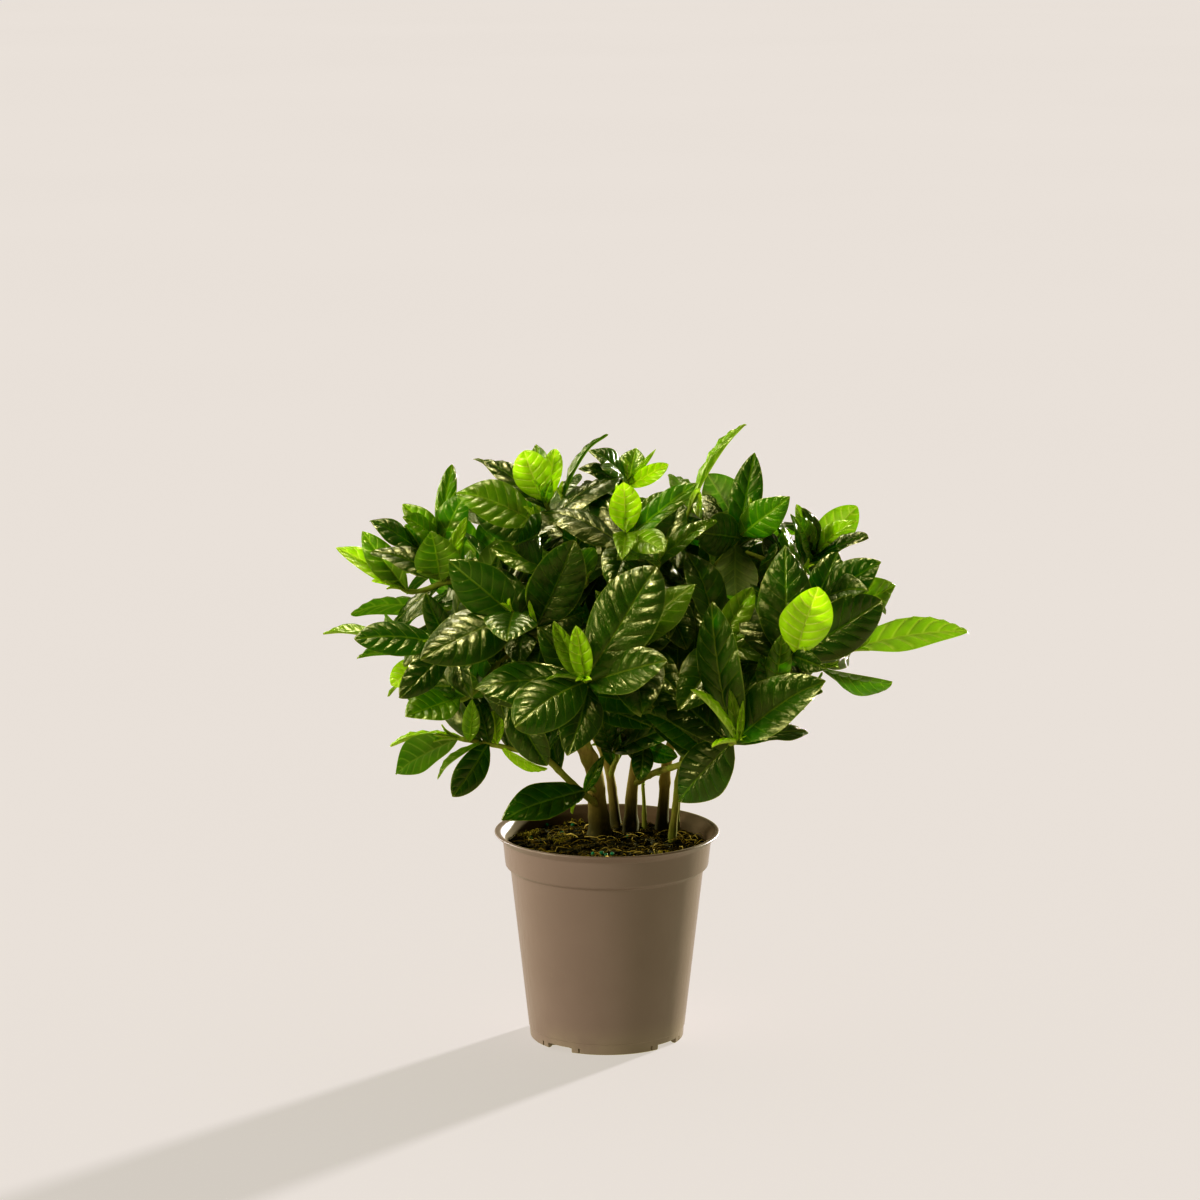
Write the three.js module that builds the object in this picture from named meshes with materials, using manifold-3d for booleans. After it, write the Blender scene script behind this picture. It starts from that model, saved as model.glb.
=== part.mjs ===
// A gardenia in a plastic nursery pot: the pot, the compost in it and six rooted plants.
// Millimetres, +Z up, the front towards -Y. The origin is the centre of the pot's underside, on the table.
import * as THREE from "three";
import { mergeVertices } from "three/addons/utils/BufferGeometryUtils.js";
import Module from "manifold-3d";

const wasm = await Module();
wasm.setup();

// Driving dimensions
const GAP = 0.35; // clearance between pieces that touch
const POT = {
  height: 122,
  rim: 65, // outer radius of the lip
  band: 60.2, // outer radius at the top of the collar
  bandFoot: 58.6, // outer radius at the bottom of the collar
  bandHeight: 20.4,
  shoulder: 55.8, // outer radius of the wall under the collar
  base: 45.3, // outer radius just above the foot
  footHeight: 6.5,
  wall: 1.5,
  channel: 2.5, // how far the underside is raised round its middle
  middle: 20, // radius of the flat middle that stands on the table
  sides: 32,
};
// Slots in the foot, four round the pot from the angle of the first, with a notch beside each end
const SLOT = {
  count: 4,
  first: -38,
  inner: 40.3,
  width: 17,
  height: 3,
  notchTurn: 17,
  notchWidth: 1.2,
  notchDepth: 1.6,
};
const DRAIN = { inner: 30, outer: 36, width: 10 }; // a hole through the floor, from radius to radius
const SOIL = { edge: 112.5, crown: 2.5, lump: 0.9, rings: [1, 0.8, 0.42, 0] };
const HEART = new THREE.Vector3(8, 5, 205); // the shoots spread from here
const DOME = { centre: new THREE.Vector3(8, 0, 222), reach: new THREE.Vector3(158, 148, 114) };
// A leaf's thickness at its midrib, the depth of its foot in the stem, and for an old and a young leaf its
// fold along the midrib in radians, its arch and the wave of its edges as shares of its length
const BLADE = { thick: 1.4, sunk: 0.55, fold: [0.16, 0.7], bow: [0.075, 0.02], wave: [0.022, 0.006] };
const OUTLINE = { foot: 0.85, tip: 0.65 }; // the powers by which a leaf widens from its foot and from its tip
// Where a leaf has a cross-section, as shares of its length. One that others hide has a flat upper face.
const LARGE = { stations: [0.1, 0.36, 0.62, 0.86], flat: false };
const SMALL = { stations: [0.14, 0.5, 0.83], flat: false };
const HIDDEN = { stations: [0.14, 0.5, 0.83], flat: true };
const LARGE_WIDTH = 25;
const SHOOT_RADIUS = [1.9, 1.2];
const BUD = 3; // a bud's length, in radii of the stem's end
const LEAF_GAP = 0.5; // between leaves of two plants
const SHARED_MM3 = 1.5; // what two leaves of one plant may share where they leave its stem
const TURN = 2.4; // from one leaf to the next, in radians, for the wave of its edge
const SEED = 20260;

// Stems: the plant, the route from its root to its end, and the radii at both ends
const STEMS = {
  left: {
    plant: "gardenia_left",
    route: [
      [-4, 12, 86], [-5, 9, 128], [-10, -4, 165], [-32, -24, 205], [-60, -38, 245], [-84, -42, 278],
      [-95, -42, 298],
    ],
    radius: [6.2, 1.5],
  },
  left_twig: {
    plant: "gardenia_left",
    route: [[-6, 4, 136], [-18, -12, 150], [-36, -24, 170], [-56, -30, 177], [-84, -36, 184]],
    radius: [2.2, 1.3],
  },
  back_left: {
    plant: "gardenia_back_left",
    route: [[7, 36, 86], [4, 34, 130], [-4, 30, 165], [-32, 24, 200], [-66, 16, 232], [-96, 4, 252]],
    radius: [2.9, 1.5],
  },
  middle: {
    plant: "gardenia_middle",
    route: [[14, 24, 86], [14, 22, 130], [18, 14, 170], [20, 6, 210], [15, 10, 262], [12, 22, 322]],
    radius: [3.9, 1.5],
  },
  middle_twig: {
    plant: "gardenia_middle",
    route: [[15, 20, 144], [26, 4, 154], [42, -32, 168], [56, -72, 184], [72, -105, 198]],
    radius: [2.1, 1.4],
  },
  right: {
    plant: "gardenia_right",
    route: [
      [32, 32, 86], [33, 30, 130], [38, 22, 170], [58, 10, 206], [86, 0, 242], [108, 0, 268],
      [119, 0, 285],
    ],
    radius: [3.4, 1.5],
  },
  right_thin: {
    plant: "gardenia_right",
    route: [[40, 29, 86], [41, 28, 130], [46, 22, 165], [66, 4, 202], [96, -36, 222], [120, -62, 231]],
    radius: [1.9, 1.3],
  },
  front_right: {
    plant: "gardenia_front_right",
    route: [[36, 4, 90], [39, 2, 130], [44, -4, 165], [60, -28, 195], [80, -56, 212], [93, -80, 221]],
    radius: [2.0, 1.3],
  },
  sprig: {
    plant: "gardenia_sprig",
    route: [[22, 38, 100], [22, 38, 122], [21, 35, 142]],
    radius: [1.4, 0.9],
  },
};

// Shoots that show from the front: stem, where on it the shoot starts (0 to 1), its end, and its leaves.
// A leaf is [tip x, y, z, its base's distance from the shoot's end, width, the look of its face, youth].
const SHOOTS = {
  front_centre: ["left", 0.3, [-12, -125, 236], [
    [26, -112, 297, 0, 38, "FU", 0.15], [32, -140, 250, 6, 27, "FU", 0.2],
    [-71, -142, 236, 8, 32, "FU", 0.15], [-48, -165, 221, 4, 32, "FU", 0.25],
    [-29, -130, 270, 2, 14, "F", 0.6], [-17, -137, 268, 0, 15, "F", 0.85],
    [-33, -140, 241, 1, 5, "U", 0.5], [-21, -142, 199, 12, 25, "F", 0.1]]],
  front_right: ["middle_twig", 1, [72, -105, 198], [
    [57, -100, 275, 6, 33, "FU", 0.15], [117, -116, 235, 4, 33, "FU", 0.15],
    [46, -122, 231, 2, 12, "RU", 0.8], [57, -122, 199, 1, 6, "U", 0.9], [40, -80, 158, 10, 31, "FR", 0.1],
    [89, -88, 229, 3, 14, "FL", 0.2], [67, -112, 229, 0, 8, "F", 0.55], [74, -116, 223, 0, 5, "F", 0.6],
    [112, -75, 196, 8, 14, "FU", 0.1], [28, -72, 223, 12, 24, "FU", 0.1]]],
  right: ["right", 0.5, [104, -92, 244], [
    [114, -118, 284, 0, 37, "F", 0.9], [152, -72, 270, 5, 32, "F", 0.1],
    [119, -112, 240, 3, 12, "F", 0.1], [98, -76, 302, 8, 32, "F", 0.1],
    [80, -62, 269, 12, 28, "FU", 0.05]]],
  far_right: ["right", 0.64, [137, -38, 235], [[203, -42, 247, 2, 38, "FUU", 0.85]]],
  low_right: ["right_thin", 1, [120, -62, 231], [[157, -88, 227, 2, 27, "FD", 0.35]]],
  inner_right: ["front_right", 1, [93, -80, 221], [
    [96, -96, 256, 0, 15, "F", 0.4], [86, -80, 243, 4, 14, "F", 0.3]]],
  upper_right: ["right", 0.78, [119, -48, 263], [
    [152, -62, 290, 3, 24, "FU", 0.05], [164, -28, 270, 6, 29, "F", 0.55],
    [142, -84, 279, 2, 20, "FU", 0.05], [129, -42, 292, 8, 18, "F", 0.05]]],
  top_right: ["right", 1, [119, 0, 285], [
    [143, 12, 309, 4, 24, "B", 0.7], [140, -12, 305, 2, 15, "FU", 0.65],
    [148, -14, 296, 8, 20, "FU", 0.05], [112, -16, 312, 3, 12, "FR", 0], [108, 8, 311, 1, 9, "F", 0.6],
    [106, -26, 309, 6, 15, "FR", 0.4]]],
  top_centre_right: ["middle", 0.62, [77, -30, 303], [
    [57, 2, 329, 3, 28, "F", 0.35], [83, -20, 345, 8, 19, "F", 0.15], [101, -46, 323, 4, 22, "F", 0.3],
    [52, -48, 304, 6, 26, "F", 0.1], [72, -50, 268, 10, 26, "F", 0.05]]],
  tall: ["middle", 0.8, [47, -20, 314], [[77, -14, 361, 0, 16, "LU", 0.6]]],
  top_centre: ["middle", 0.7, [10, -65, 308], [
    [9, -75, 336, 0, 24, "F", 0.95], [8, -100, 300, 3, 16, "FU", 0.6], [31, -96, 302, 4, 22, "FU", 0.6],
    [5, -66, 335, 1, 6, "F", 0.9], [49, -72, 336, 8, 16, "FU", 0.35], [32, -42, 327, 10, 16, "F", 0.4],
    [40, -40, 321, 8, 20, "F", 0.1], [3, -92, 283, 14, 24, "F", 0.15]]],
  top_left: ["middle", 0.76, [-35, -45, 322], [
    [-46, -50, 350, 0, 26, "F", 0.95], [-75, -25, 343, 8, 19, "FU", 0.05],
    [-29, -30, 349, 3, 14, "F", 0.85], [-40, -12, 349, 6, 15, "F", 0.4],
    [-31, -62, 336, 1, 7, "F", 0.5]]],
  blade_left: ["middle", 0.86, [-25, -18, 318], [[-2, -14, 356, 0, 15, "LU", 0.25]]],
  olive: ["left", 0.62, [-40, -56, 312], [
    [-83, -60, 330, 2, 30, "FU", 0.45], [-52, -88, 304, 8, 30, "F", 0.1],
    [-74, -48, 317, 5, 24, "F", 0.1]]],
  crown: ["middle", 1, [12, 22, 322], [
    [-9, 14, 342, 2, 26, "FU", 0.2], [17, 40, 339, 4, 18, "F", 0.5], [-15, 8, 333, 6, 18, "FU", 0],
    [0, -12, 336, 8, 20, "FU", 0.25], [28, 20, 341, 0, 4, "F", 0.6], [35, 18, 332, 3, 13, "F", 0.85],
    [-13, -14, 326, 12, 18, "U", 0]]],
  left_upper: ["left", 0.86, [-93, -65, 281], [
    [-97, -76, 310, 0, 28, "F", 0.5], [-131, -60, 296, 5, 20, "FU", 0.1],
    [-78, -62, 315, 3, 9, "F", 0.6]]],
  left_shelf: ["left", 0.9, [-106, -42, 292], [
    [-132, -48, 311, 2, 18, "FU", 0.1], [-113, -38, 307, 5, 14, "F", 0.1]]],
  left_lime: ["left", 0.8, [-114, -48, 272], [
    [-137, -44, 304, 2, 19, "F", 0.65], [-152, -38, 294, 0, 17, "FU", 0.85]]],
  left_top: ["left", 1, [-95, -42, 298], [
    [-80, -50, 326, 3, 20, "FU", 0.15], [-87, -18, 338, 6, 12, "F", 0.35],
    [-114, -38, 319, 4, 16, "FU", 0.5], [-113, -60, 315, 1, 14, "FU", 0.4]]],
  left_olive: ["back_left", 1, [-96, 4, 252], [
    [-145, -34, 257, 2, 24, "FU", 0.3], [-122, -10, 247, 0, 5, "U", 0.5]]],
  left_dark: ["left", 0.72, [-92, -72, 245], [
    [-139, -96, 253, 2, 24, "FU", 0.2], [-112, -102, 223, 6, 20, "F", 0],
    [-100, -84, 276, 8, 14, "F", 0.1]]],
  left_back: ["back_left", 0.85, [-126, -25, 238], [[-161, -20, 242, 2, 16, "U", 0.6]]],
  left_pale: ["back_left", 0.7, [-100, -35, 228], [
    [-121, -50, 219, 2, 24, "FU", 0.9], [-125, -28, 207, 4, 6, "U", 0.6]]],
  left_low: ["left", 0.6, [-85, -68, 213], [[-111, -94, 209, 2, 26, "FU", 0.25]]],
  front_left: ["left", 0.52, [-52, -105, 270], [
    [-101, -132, 249, 4, 34, "FU", 0.1], [-86, -112, 299, 8, 29, "F", 0.25],
    [-54, -148, 263, 2, 31, "FU", 0.25]]],
  front_grey: ["left", 0.46, [-39, -92, 261], [
    [-18, -102, 309, 2, 31, "F", 0.1], [-12, -72, 264, 5, 22, "F", 0.1]]],
  twig_left: ["left_twig", 1, [-84, -36, 184], [
    [-120, -44, 166, 0, 32, "FU", 0.8], [-124, -20, 178, 2, 12, "U", 0.8],
    [-97, -44, 164, 14, 9, "U", 0.4], [-87, -56, 155, 17, 18, "F", 0.15],
    [-76, -42, 208, 6, 11, "F", 0.45], [-73, -26, 202, 18, 12, "F", 0.1],
    [-65, -22, 197, 22, 13, "F", 0.8], [-34, -20, 162, 26, 11, "FD", 0.85]]],
  hanging_left: ["left", 0.48, [-55, -84, 217], [[-33, -92, 181, 2, 21, "F", 0.05]]],
  low_leaf: ["left", 0.2, [-14, -14, 147], [
    [-59, -44, 140, 2, 25, "FU", 0.1], [-2, -16, 169, 2, 8, "F", 0.3]]],
  low_middle: ["back_left", 0.26, [2, 0, 170], [
    [-4, -14, 189, 2, 14, "F", 0.1], [11, -16, 186, 3, 12, "FU", 0.1], [47, -30, 192, 6, 18, "FU", 0.1],
    [-6, -20, 200, 8, 14, "F", 0.2]]],
  low_back: ["middle", 0.3, [22, -4, 175], [
    [19, -16, 155, 2, 13, "F", 0.1], [40, -10, 167, 4, 13, "F", 0.05]]],
  sprig: ["sprig", 1, [21, 35, 142], [[31, 30, 148, 0, 4, "U", 0.3], [16, 32, 150, 2, 4, "U", 0.4]]],
};

// Shoots that the front leaves hide, in rings: [height, radius, first and last angle, how many]
const RINGS = [
  [192, 94, 2, 178, 3], [228, 116, -14, 176, 6], [270, 98, -4, 184, 5], [298, 52, 25, 155, 2],
  [208, 78, -154, -16, 4], [250, 84, -166, -8, 5], [286, 62, -165, -15, 4],
];
// A ring's shoot grows from the stem on its side of the plant, in front (y below 0) and behind.
const SIDES = {
  front: [{ upTo: -4, stem: "left" }, { upTo: 36, stem: "middle" }, { upTo: Infinity, stem: "right" }],
  behind: [{ upTo: -18, stem: "back_left" }, { upTo: 40, stem: "middle" }, { upTo: Infinity, stem: "right" }],
};
// The leaves of the rings stay above this height, so that the stems show. It falls towards the back and,
// beyond a distance from the middle, rises to both sides.
const UNDERSIDE = { height: 184, fall: 0.2, middle: 60, rise: 0.35 };
// A whorl of leaves: its distance back from the shoot's end, how many, their length, their angle to the shoot
const WHORLS = [
  { back: 1, count: 2, length: 34, open: 30 },
  { back: 6, count: 2, length: 50, open: 55 },
  { back: 15, count: 2, length: 60, open: 78 },
];
// One more on a shoot that shows from the front
const WHORL_BEHIND = { back: 14, count: 2, length: 54, open: 70 };
const SLIM = 0.46; // width of a whorl's leaf as a share of its length
// Turns round the shoot and lifts, in degrees, tried in this order to bend a leaf clear of the others
const BENDS = [[0, 0], [20, 0], [-20, 0], [0, -16], [0, 16], [38, -8], [-38, -8]];

const vec = (a) => new THREE.Vector3(...a);
const rad = THREE.MathUtils.degToRad;
const mix = THREE.MathUtils.lerp;

// A small seeded generator of numbers from 0 to 1
function seeded(seed) {
  let state = seed >>> 0;
  return () => {
    state = (state + 0x6d2b79f5) >>> 0;
    let t = Math.imul(state ^ (state >>> 15), state | 1);
    t = (t + Math.imul(t ^ (t >>> 7), t | 61)) ^ t;
    return ((t ^ (t >>> 14)) >>> 0) / 4294967296;
  };
}

// A closed geometry as a manifold-3d solid
function solid(geometry) {
  for (const name of ["normal", "uv"]) geometry.deleteAttribute(name);
  const merged = mergeVertices(geometry, 1e-4);
  const mesh = new wasm.Mesh({
    numProp: 3,
    vertProperties: merged.attributes.position.array,
    triVerts: new Uint32Array(merged.index.array),
  });
  return new wasm.Manifold(mesh);
}

// A skin over rings of points between two end points. The second half of each ring is split the other way,
// so that both faces of a thin blade bend along the same lines.
function loft(start, rings, end) {
  const count = rings[0].length;
  const points = [start, ...rings.flat(), end];
  const last = points.length - 1;
  const faces = [];
  const at = (i, k) => 1 + i * count + (k % count);
  for (let k = 0; k < count; k++) {
    faces.push(0, at(0, k + 1), at(0, k), last, at(rings.length - 1, k), at(rings.length - 1, k + 1));
    for (let i = 0; i + 1 < rings.length; i++) {
      const [a, b, c, d] = [at(i, k), at(i, k + 1), at(i + 1, k), at(i + 1, k + 1)];
      if (k < count / 2) faces.push(a, b, d, a, d, c);
      else faces.push(a, b, c, b, d, c);
    }
  }
  const geometry = new THREE.BufferGeometry().setFromPoints(points);
  geometry.setIndex(faces);
  return geometry;
}

// Stems and shoots, as the points that they pass through
function stemCurve(stem) {
  return new THREE.CatmullRomCurve3(STEMS[stem].route.map(vec), false, "catmullrom", 0.5);
}

function stemPath(stem) {
  return stemCurve(stem).getPoints(2 * (STEMS[stem].route.length - 1));
}

// The way a shoot points at its end: outwards and up
function shootAxis(end) {
  return end.clone().sub(HEART).add(new THREE.Vector3(0, 0, 40)).normalize();
}

// A shoot leaves its stem along it and bends outwards. One that starts at 1 is the stem's own end.
function shootPath({ stem, start, end }) {
  if (start >= 1) return stemPath(stem);
  const curve = stemCurve(stem);
  const from = curve.getPoint(start);
  const reach = 0.35 * from.distanceTo(end);
  const first = from.clone().addScaledVector(curve.getTangent(start), reach);
  const second = end.clone().addScaledVector(shootAxis(end), -reach);
  return new THREE.CubicBezierCurve3(from, first, second, end).getPoints(3);
}

// The point of a path that lies a distance back from its end
function pointBack(path, back) {
  let left = back;
  for (let i = path.length - 1; i > 0; i--) {
    const step = path[i].distanceTo(path[i - 1]);
    if (left <= step) return path[i].clone().lerp(path[i - 1], left / step);
    left -= step;
  }
  return path[0].clone();
}

// A tapered stem along a path, with a pointed bud at its end
function stemSolid(path, radius, sides, grown = 0) {
  const last = path.length - 1;
  const way = (i) => path[Math.min(i + 1, last)].clone().sub(path[Math.max(i - 1, 0)]).normalize();
  let side = new THREE.Vector3(0.31, -0.95, 0);
  const rings = path.map((centre, i) => {
    side = side.clone().addScaledVector(way(i), -side.dot(way(i))).normalize();
    const across = way(i).cross(side);
    const r = mix(radius[0], radius[1], i / last) + grown;
    return Array.from({ length: sides }, (_, k) => {
      const turn = (2 * Math.PI * k) / sides;
      const out = side.clone().multiplyScalar(Math.cos(turn)).addScaledVector(across, Math.sin(turn));
      return centre.clone().addScaledVector(out, r);
    });
  });
  const start = path[0].clone().addScaledVector(way(0), -grown);
  const end = path[last].clone().addScaledVector(way(last), BUD * radius[1] + grown);
  return solid(loft(start, rings, end));
}

// Leaves
const WAYS = { F: [0, -1, 0], B: [0, 1, 0], U: [0, 0, 1], D: [0, 0, -1], L: [-1, 0, 0], R: [1, 0, 0] };
const lookOf = (letters) => [...letters].reduce((sum, l) => sum.add(vec(WAYS[l])), new THREE.Vector3());

// Half the width of a leaf at a share of its length, as a share of its greatest half width
function outline(share) {
  const shape = (s) => s ** OUTLINE.foot * (1 - s) ** OUTLINE.tip;
  return shape(share) / shape(OUTLINE.foot / (OUTLINE.foot + OUTLINE.tip));
}

// A leaf as a thin solid, arched along its midrib, folded up along it when young and waved at its edges when
// old. Its foot is sunk in the stem. Grown leaves, for the clearance between two, are thicker and wider.
function leafSolid({ base, tip, width, look, youth, turn, form }, grown = 0) {
  const along = tip.clone().sub(base);
  const length = along.length();
  along.normalize();
  const up = look.clone().addScaledVector(along, -look.dot(along)).normalize();
  const right = along.clone().cross(up);
  const fold = mix(...BLADE.fold, youth);
  const bow = mix(...BLADE.bow, youth) * length;
  const wave = mix(...BLADE.wave, youth) * length;
  const depth = BLADE.thick / 2 + grown;
  const rings = form.stations.map((s) => {
    const middle = base.clone().addScaledVector(along, s * length).addScaledVector(up, 4 * bow * s * (1 - s));
    const half = (width / 2) * outline(s) + grown;
    const edge = (sign) =>
      middle
        .clone()
        .addScaledVector(right, sign * half * Math.cos(fold))
        .addScaledVector(up, half * Math.sin(fold) + wave * Math.sin(9 * s + turn + sign));
    const rib = (sign) => middle.clone().addScaledVector(up, sign * depth);
    return form.flat ? [edge(-1), edge(1), rib(-1)] : [edge(-1), rib(1), edge(1), rib(-1)];
  });
  const foot = base.clone().addScaledVector(along, -BLADE.sunk - grown);
  return solid(loft(foot, rings, tip.clone().addScaledVector(along, grown)));
}

// The leaves listed on a shoot
function listedLeaves(path, leaves) {
  return leaves.map(([x, y, z, back, width, look, youth]) => ({
    base: pointBack(path, back),
    tip: new THREE.Vector3(x, y, z),
    width,
    look: lookOf(look),
    youth,
    form: width < LARGE_WIDTH ? SMALL : LARGE,
  }));
}

// A whorl of leaves round a shoot's end, each with the tips that it has as it is bent clear of the others
function whorlLeaves(path, axis, spin, whorl, random) {
  const first = new THREE.Vector3(axis.y, -axis.x, 0).normalize();
  const second = axis.clone().cross(first);
  const base = pointBack(path, whorl.back);
  const leaves = [];
  for (let j = 0; j < whorl.count; j++) {
    const [round, open, size, age] = [random(), random(), random(), random()];
    const length = whorl.length * (0.88 + 0.3 * size);
    const tips = BENDS.map(([aside, lift]) => {
      const turn = rad(spin + (360 / whorl.count) * j + 24 * (round - 0.5) + aside);
      const lean = rad(whorl.open + 16 * (open - 0.5) + lift);
      const way = axis.clone().multiplyScalar(Math.cos(lean));
      way.addScaledVector(first, Math.cos(turn) * Math.sin(lean));
      way.addScaledVector(second, Math.sin(turn) * Math.sin(lean));
      way.z -= 0.005 * whorl.back;
      return base.clone().addScaledVector(way.normalize(), length);
    });
    const youth = Math.max(0, 0.42 - 0.025 * whorl.back + 0.3 * (age - 0.5));
    leaves.push({ base, tips, width: SLIM * length, look: axis, youth, form: HIDDEN });
  }
  return leaves;
}

// The shoots of the rings, each on the stem of its side
function ringShoots(random) {
  return RINGS.flatMap(([height, radius, from, to, count]) =>
    Array.from({ length: count }, (_, i) => {
      const angle = rad(mix(from, to, i / (count - 1)) + 14 * (random() - 0.5));
      const out = radius * (0.92 + 0.16 * random());
      const z = height + 14 * (random() - 0.5);
      const end = new THREE.Vector3(DOME.centre.x + out * Math.cos(angle), out * Math.sin(angle), z);
      const stem = SIDES[end.y < 0 ? "front" : "behind"].find((side) => end.x < side.upTo).stem;
      return { stem, start: mix(0.36, 0.84, (height - 180) / 130), end, leaves: [] };
    }),
  );
}

// Everything that has grown so far, with its box, so that a new leaf can be tried against its neighbours
const grownPieces = [];

function grow(plant, piece) {
  grownPieces.push({ plant, piece, box: piece.boundingBox() });
}

function boxesMeet(a, b) {
  return [0, 1, 2].every((i) => a.min[i] <= b.max[i] && b.min[i] <= a.max[i]);
}

// Two leaves of one plant may touch where they leave its stem, and leaves of two plants stay apart.
function isClear(plant, leaf) {
  const piece = leafSolid(leaf);
  const wide = leafSolid(leaf, LEAF_GAP);
  const box = wide.boundingBox();
  return grownPieces.every((other) => {
    if (!boxesMeet(box, other.box)) return true;
    if (other.plant === plant) return piece.intersect(other.piece).volume() < SHARED_MM3;
    return wide.intersect(other.piece).isEmpty();
  });
}

function isInDome(tip) {
  const aside = Math.max(0, Math.abs(tip.x - DOME.centre.x) - UNDERSIDE.middle);
  if (tip.z < UNDERSIDE.height - UNDERSIDE.fall * tip.y + UNDERSIDE.rise * aside) return false;
  return tip.clone().sub(DOME.centre).divide(DOME.reach).length() < 1;
}

// The pot, as an outline turned round its axis: up the outside, over the lip and down the inside
function potSolid() {
  const p = POT;
  const top = p.height;
  const bandFoot = top - p.bandHeight;
  const profile = [
    [0, 0], [p.middle, 0], [p.middle + 3, p.channel], [p.base - 5.8, p.channel], [p.base - 3.4, 0],
    [p.base - 0.8, 0], [p.base - 0.4, p.footHeight - 0.3], [p.base, p.footHeight],
    [p.shoulder, bandFoot - 1.4], [p.bandFoot, bandFoot + 0.4], [p.band, top - 5], [p.rim - 1, top - 1.8],
    [p.rim, top - 0.8], [p.rim - 0.8, top],
    ...inside().reverse(),
  ];
  const shell = solid(turned(profile));
  return drainCuts().reduce((pot, cut) => pot.subtract(cut), shell);
}

// The inside of the pot from the middle of its floor to its lip, made smaller by a gap for what fills it
function inside(gap = 0) {
  const p = POT;
  const bandFoot = p.height - p.bandHeight;
  return [
    [0, p.wall + gap], [p.middle + 0.6 - gap, p.wall + gap], [p.middle + 3.6 - gap, p.channel + p.wall + gap],
    [p.base - 4.6 - gap, p.channel + p.wall + gap], [p.base - p.wall - gap, p.channel + 4.4],
    [p.shoulder - p.wall - gap, bandFoot], [p.bandFoot - p.wall - gap, bandFoot + 2.2],
    [p.band - p.wall - gap, p.height - 4.6], [p.rim - 3.4, p.height - 0.6],
  ];
}

// An outline of radii and heights turned round the pot's axis
function turned(profile) {
  const points = profile.map(([r, z]) => new THREE.Vector2(r, z));
  return new THREE.LatheGeometry(points, POT.sides).rotateX(Math.PI / 2);
}

// A box from radius r0 to r1 and from height z0 to z1, turned to an angle
function radialBox(angle, r0, r1, width, z0, z1) {
  const box = new THREE.BoxGeometry(r1 - r0, width, z1 - z0);
  box.translate((r0 + r1) / 2, 0, (z0 + z1) / 2);
  return solid(box.rotateZ(rad(angle)));
}

// Slots through the foot, drain holes beside them in the raised floor and narrow notches in the foot
function drainCuts() {
  const outside = POT.rim;
  const below = -1;
  const cuts = [];
  for (let i = 0; i < SLOT.count; i++) {
    const angle = SLOT.first + (360 / SLOT.count) * i;
    cuts.push(radialBox(angle, SLOT.inner, outside, SLOT.width, below, SLOT.height));
    cuts.push(radialBox(angle, DRAIN.inner, DRAIN.outer, DRAIN.width, below, 2 * POT.channel + POT.wall));
    for (const turn of [angle - SLOT.notchTurn, angle + SLOT.notchTurn]) {
      cuts.push(radialBox(turn, POT.base - SLOT.notchDepth, outside, SLOT.notchWidth, below, SLOT.height));
    }
  }
  return cuts;
}

// The compost: it fills the pot, with a lumpy crown and a hole for each stem
function soilSolid(stemHoles) {
  const walls = inside(GAP).slice(0, 7);
  const [foot, top] = [walls[6], inside(GAP)[7]];
  const rim = mix(foot[0], top[0], (SOIL.edge - foot[1]) / (top[1] - foot[1]));
  const rings = SOIL.rings.map((share) => [share * rim, SOIL.edge]);
  const geometry = turned([...walls, ...rings]);
  const at = geometry.attributes.position;
  for (let i = 0; i < at.count; i++) {
    if (at.getZ(i) > SOIL.edge - 0.01) at.setZ(i, soilTop(at.getX(i), at.getY(i), rim));
  }
  return stemHoles.reduce((soil, hole) => soil.subtract(hole), solid(geometry));
}

function soilTop(x, y, rim) {
  const share = 1 - (x * x + y * y) / (rim * rim);
  const lumps = Math.sin(0.31 * x + 1) * Math.cos(0.27 * y) + 0.6 * Math.sin(0.55 * y - 0.4 * x);
  return SOIL.edge + SOIL.crown * share + SOIL.lump * lumps * Math.min(1, 3 * share);
}

// The materials
const leafGreen = new THREE.MeshStandardMaterial({ color: 0x1f4a14, roughness: 0.32 });
const compost = new THREE.MeshStandardMaterial({ color: 0x3a2a18, roughness: 0.95 });
const taupe = new THREE.MeshStandardMaterial({ color: 0x83705f, roughness: 0.5 });

// The largest body of a join, with any scrap dropped and any sealed hollow filled
function whole(join) {
  return join.decompose().reduce((best, body) => (body.volume() > best.volume() ? body : best));
}

function named(name, piece, material) {
  const got = piece.getMesh();
  const places = new Float32Array(got.numVert * 3);
  for (let i = 0; i < got.numVert; i++) {
    places.set(got.vertProperties.subarray(i * got.numProp, i * got.numProp + 3), i * 3);
  }
  const geometry = new THREE.BufferGeometry();
  geometry.setAttribute("position", new THREE.BufferAttribute(places, 3));
  geometry.setIndex(new THREE.BufferAttribute(got.triVerts, 1));
  const mesh = new THREE.Mesh(geometry, material);
  mesh.name = name;
  return mesh;
}

// The plants: stems and shoots first, then the leaves in front, then the whorls that stay clear of them
const random = seeded(SEED);
const pot = potSolid();
grow("pot", pot);
const holes = [];
for (const [name, stem] of Object.entries(STEMS)) {
  grow(stem.plant, stemSolid(stemPath(name), stem.radius, 5));
  holes.push(stemSolid(stemPath(name), stem.radius, 5, GAP));
}
const shoots = Object.values(SHOOTS).map(([stem, start, end, leaves]) => {
  return { stem, start, end: vec(end), leaves };
});
shoots.push(...ringShoots(random));
for (const shoot of shoots) {
  shoot.plant = STEMS[shoot.stem].plant;
  shoot.path = shootPath(shoot);
  if (shoot.start < 1) grow(shoot.plant, stemSolid(shoot.path, SHOOT_RADIUS, 3));
}
let turn = 0;
for (const shoot of shoots) {
  for (const leaf of listedLeaves(shoot.path, shoot.leaves)) {
    turn += TURN;
    grow(shoot.plant, leafSolid({ ...leaf, turn }));
  }
}
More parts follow.
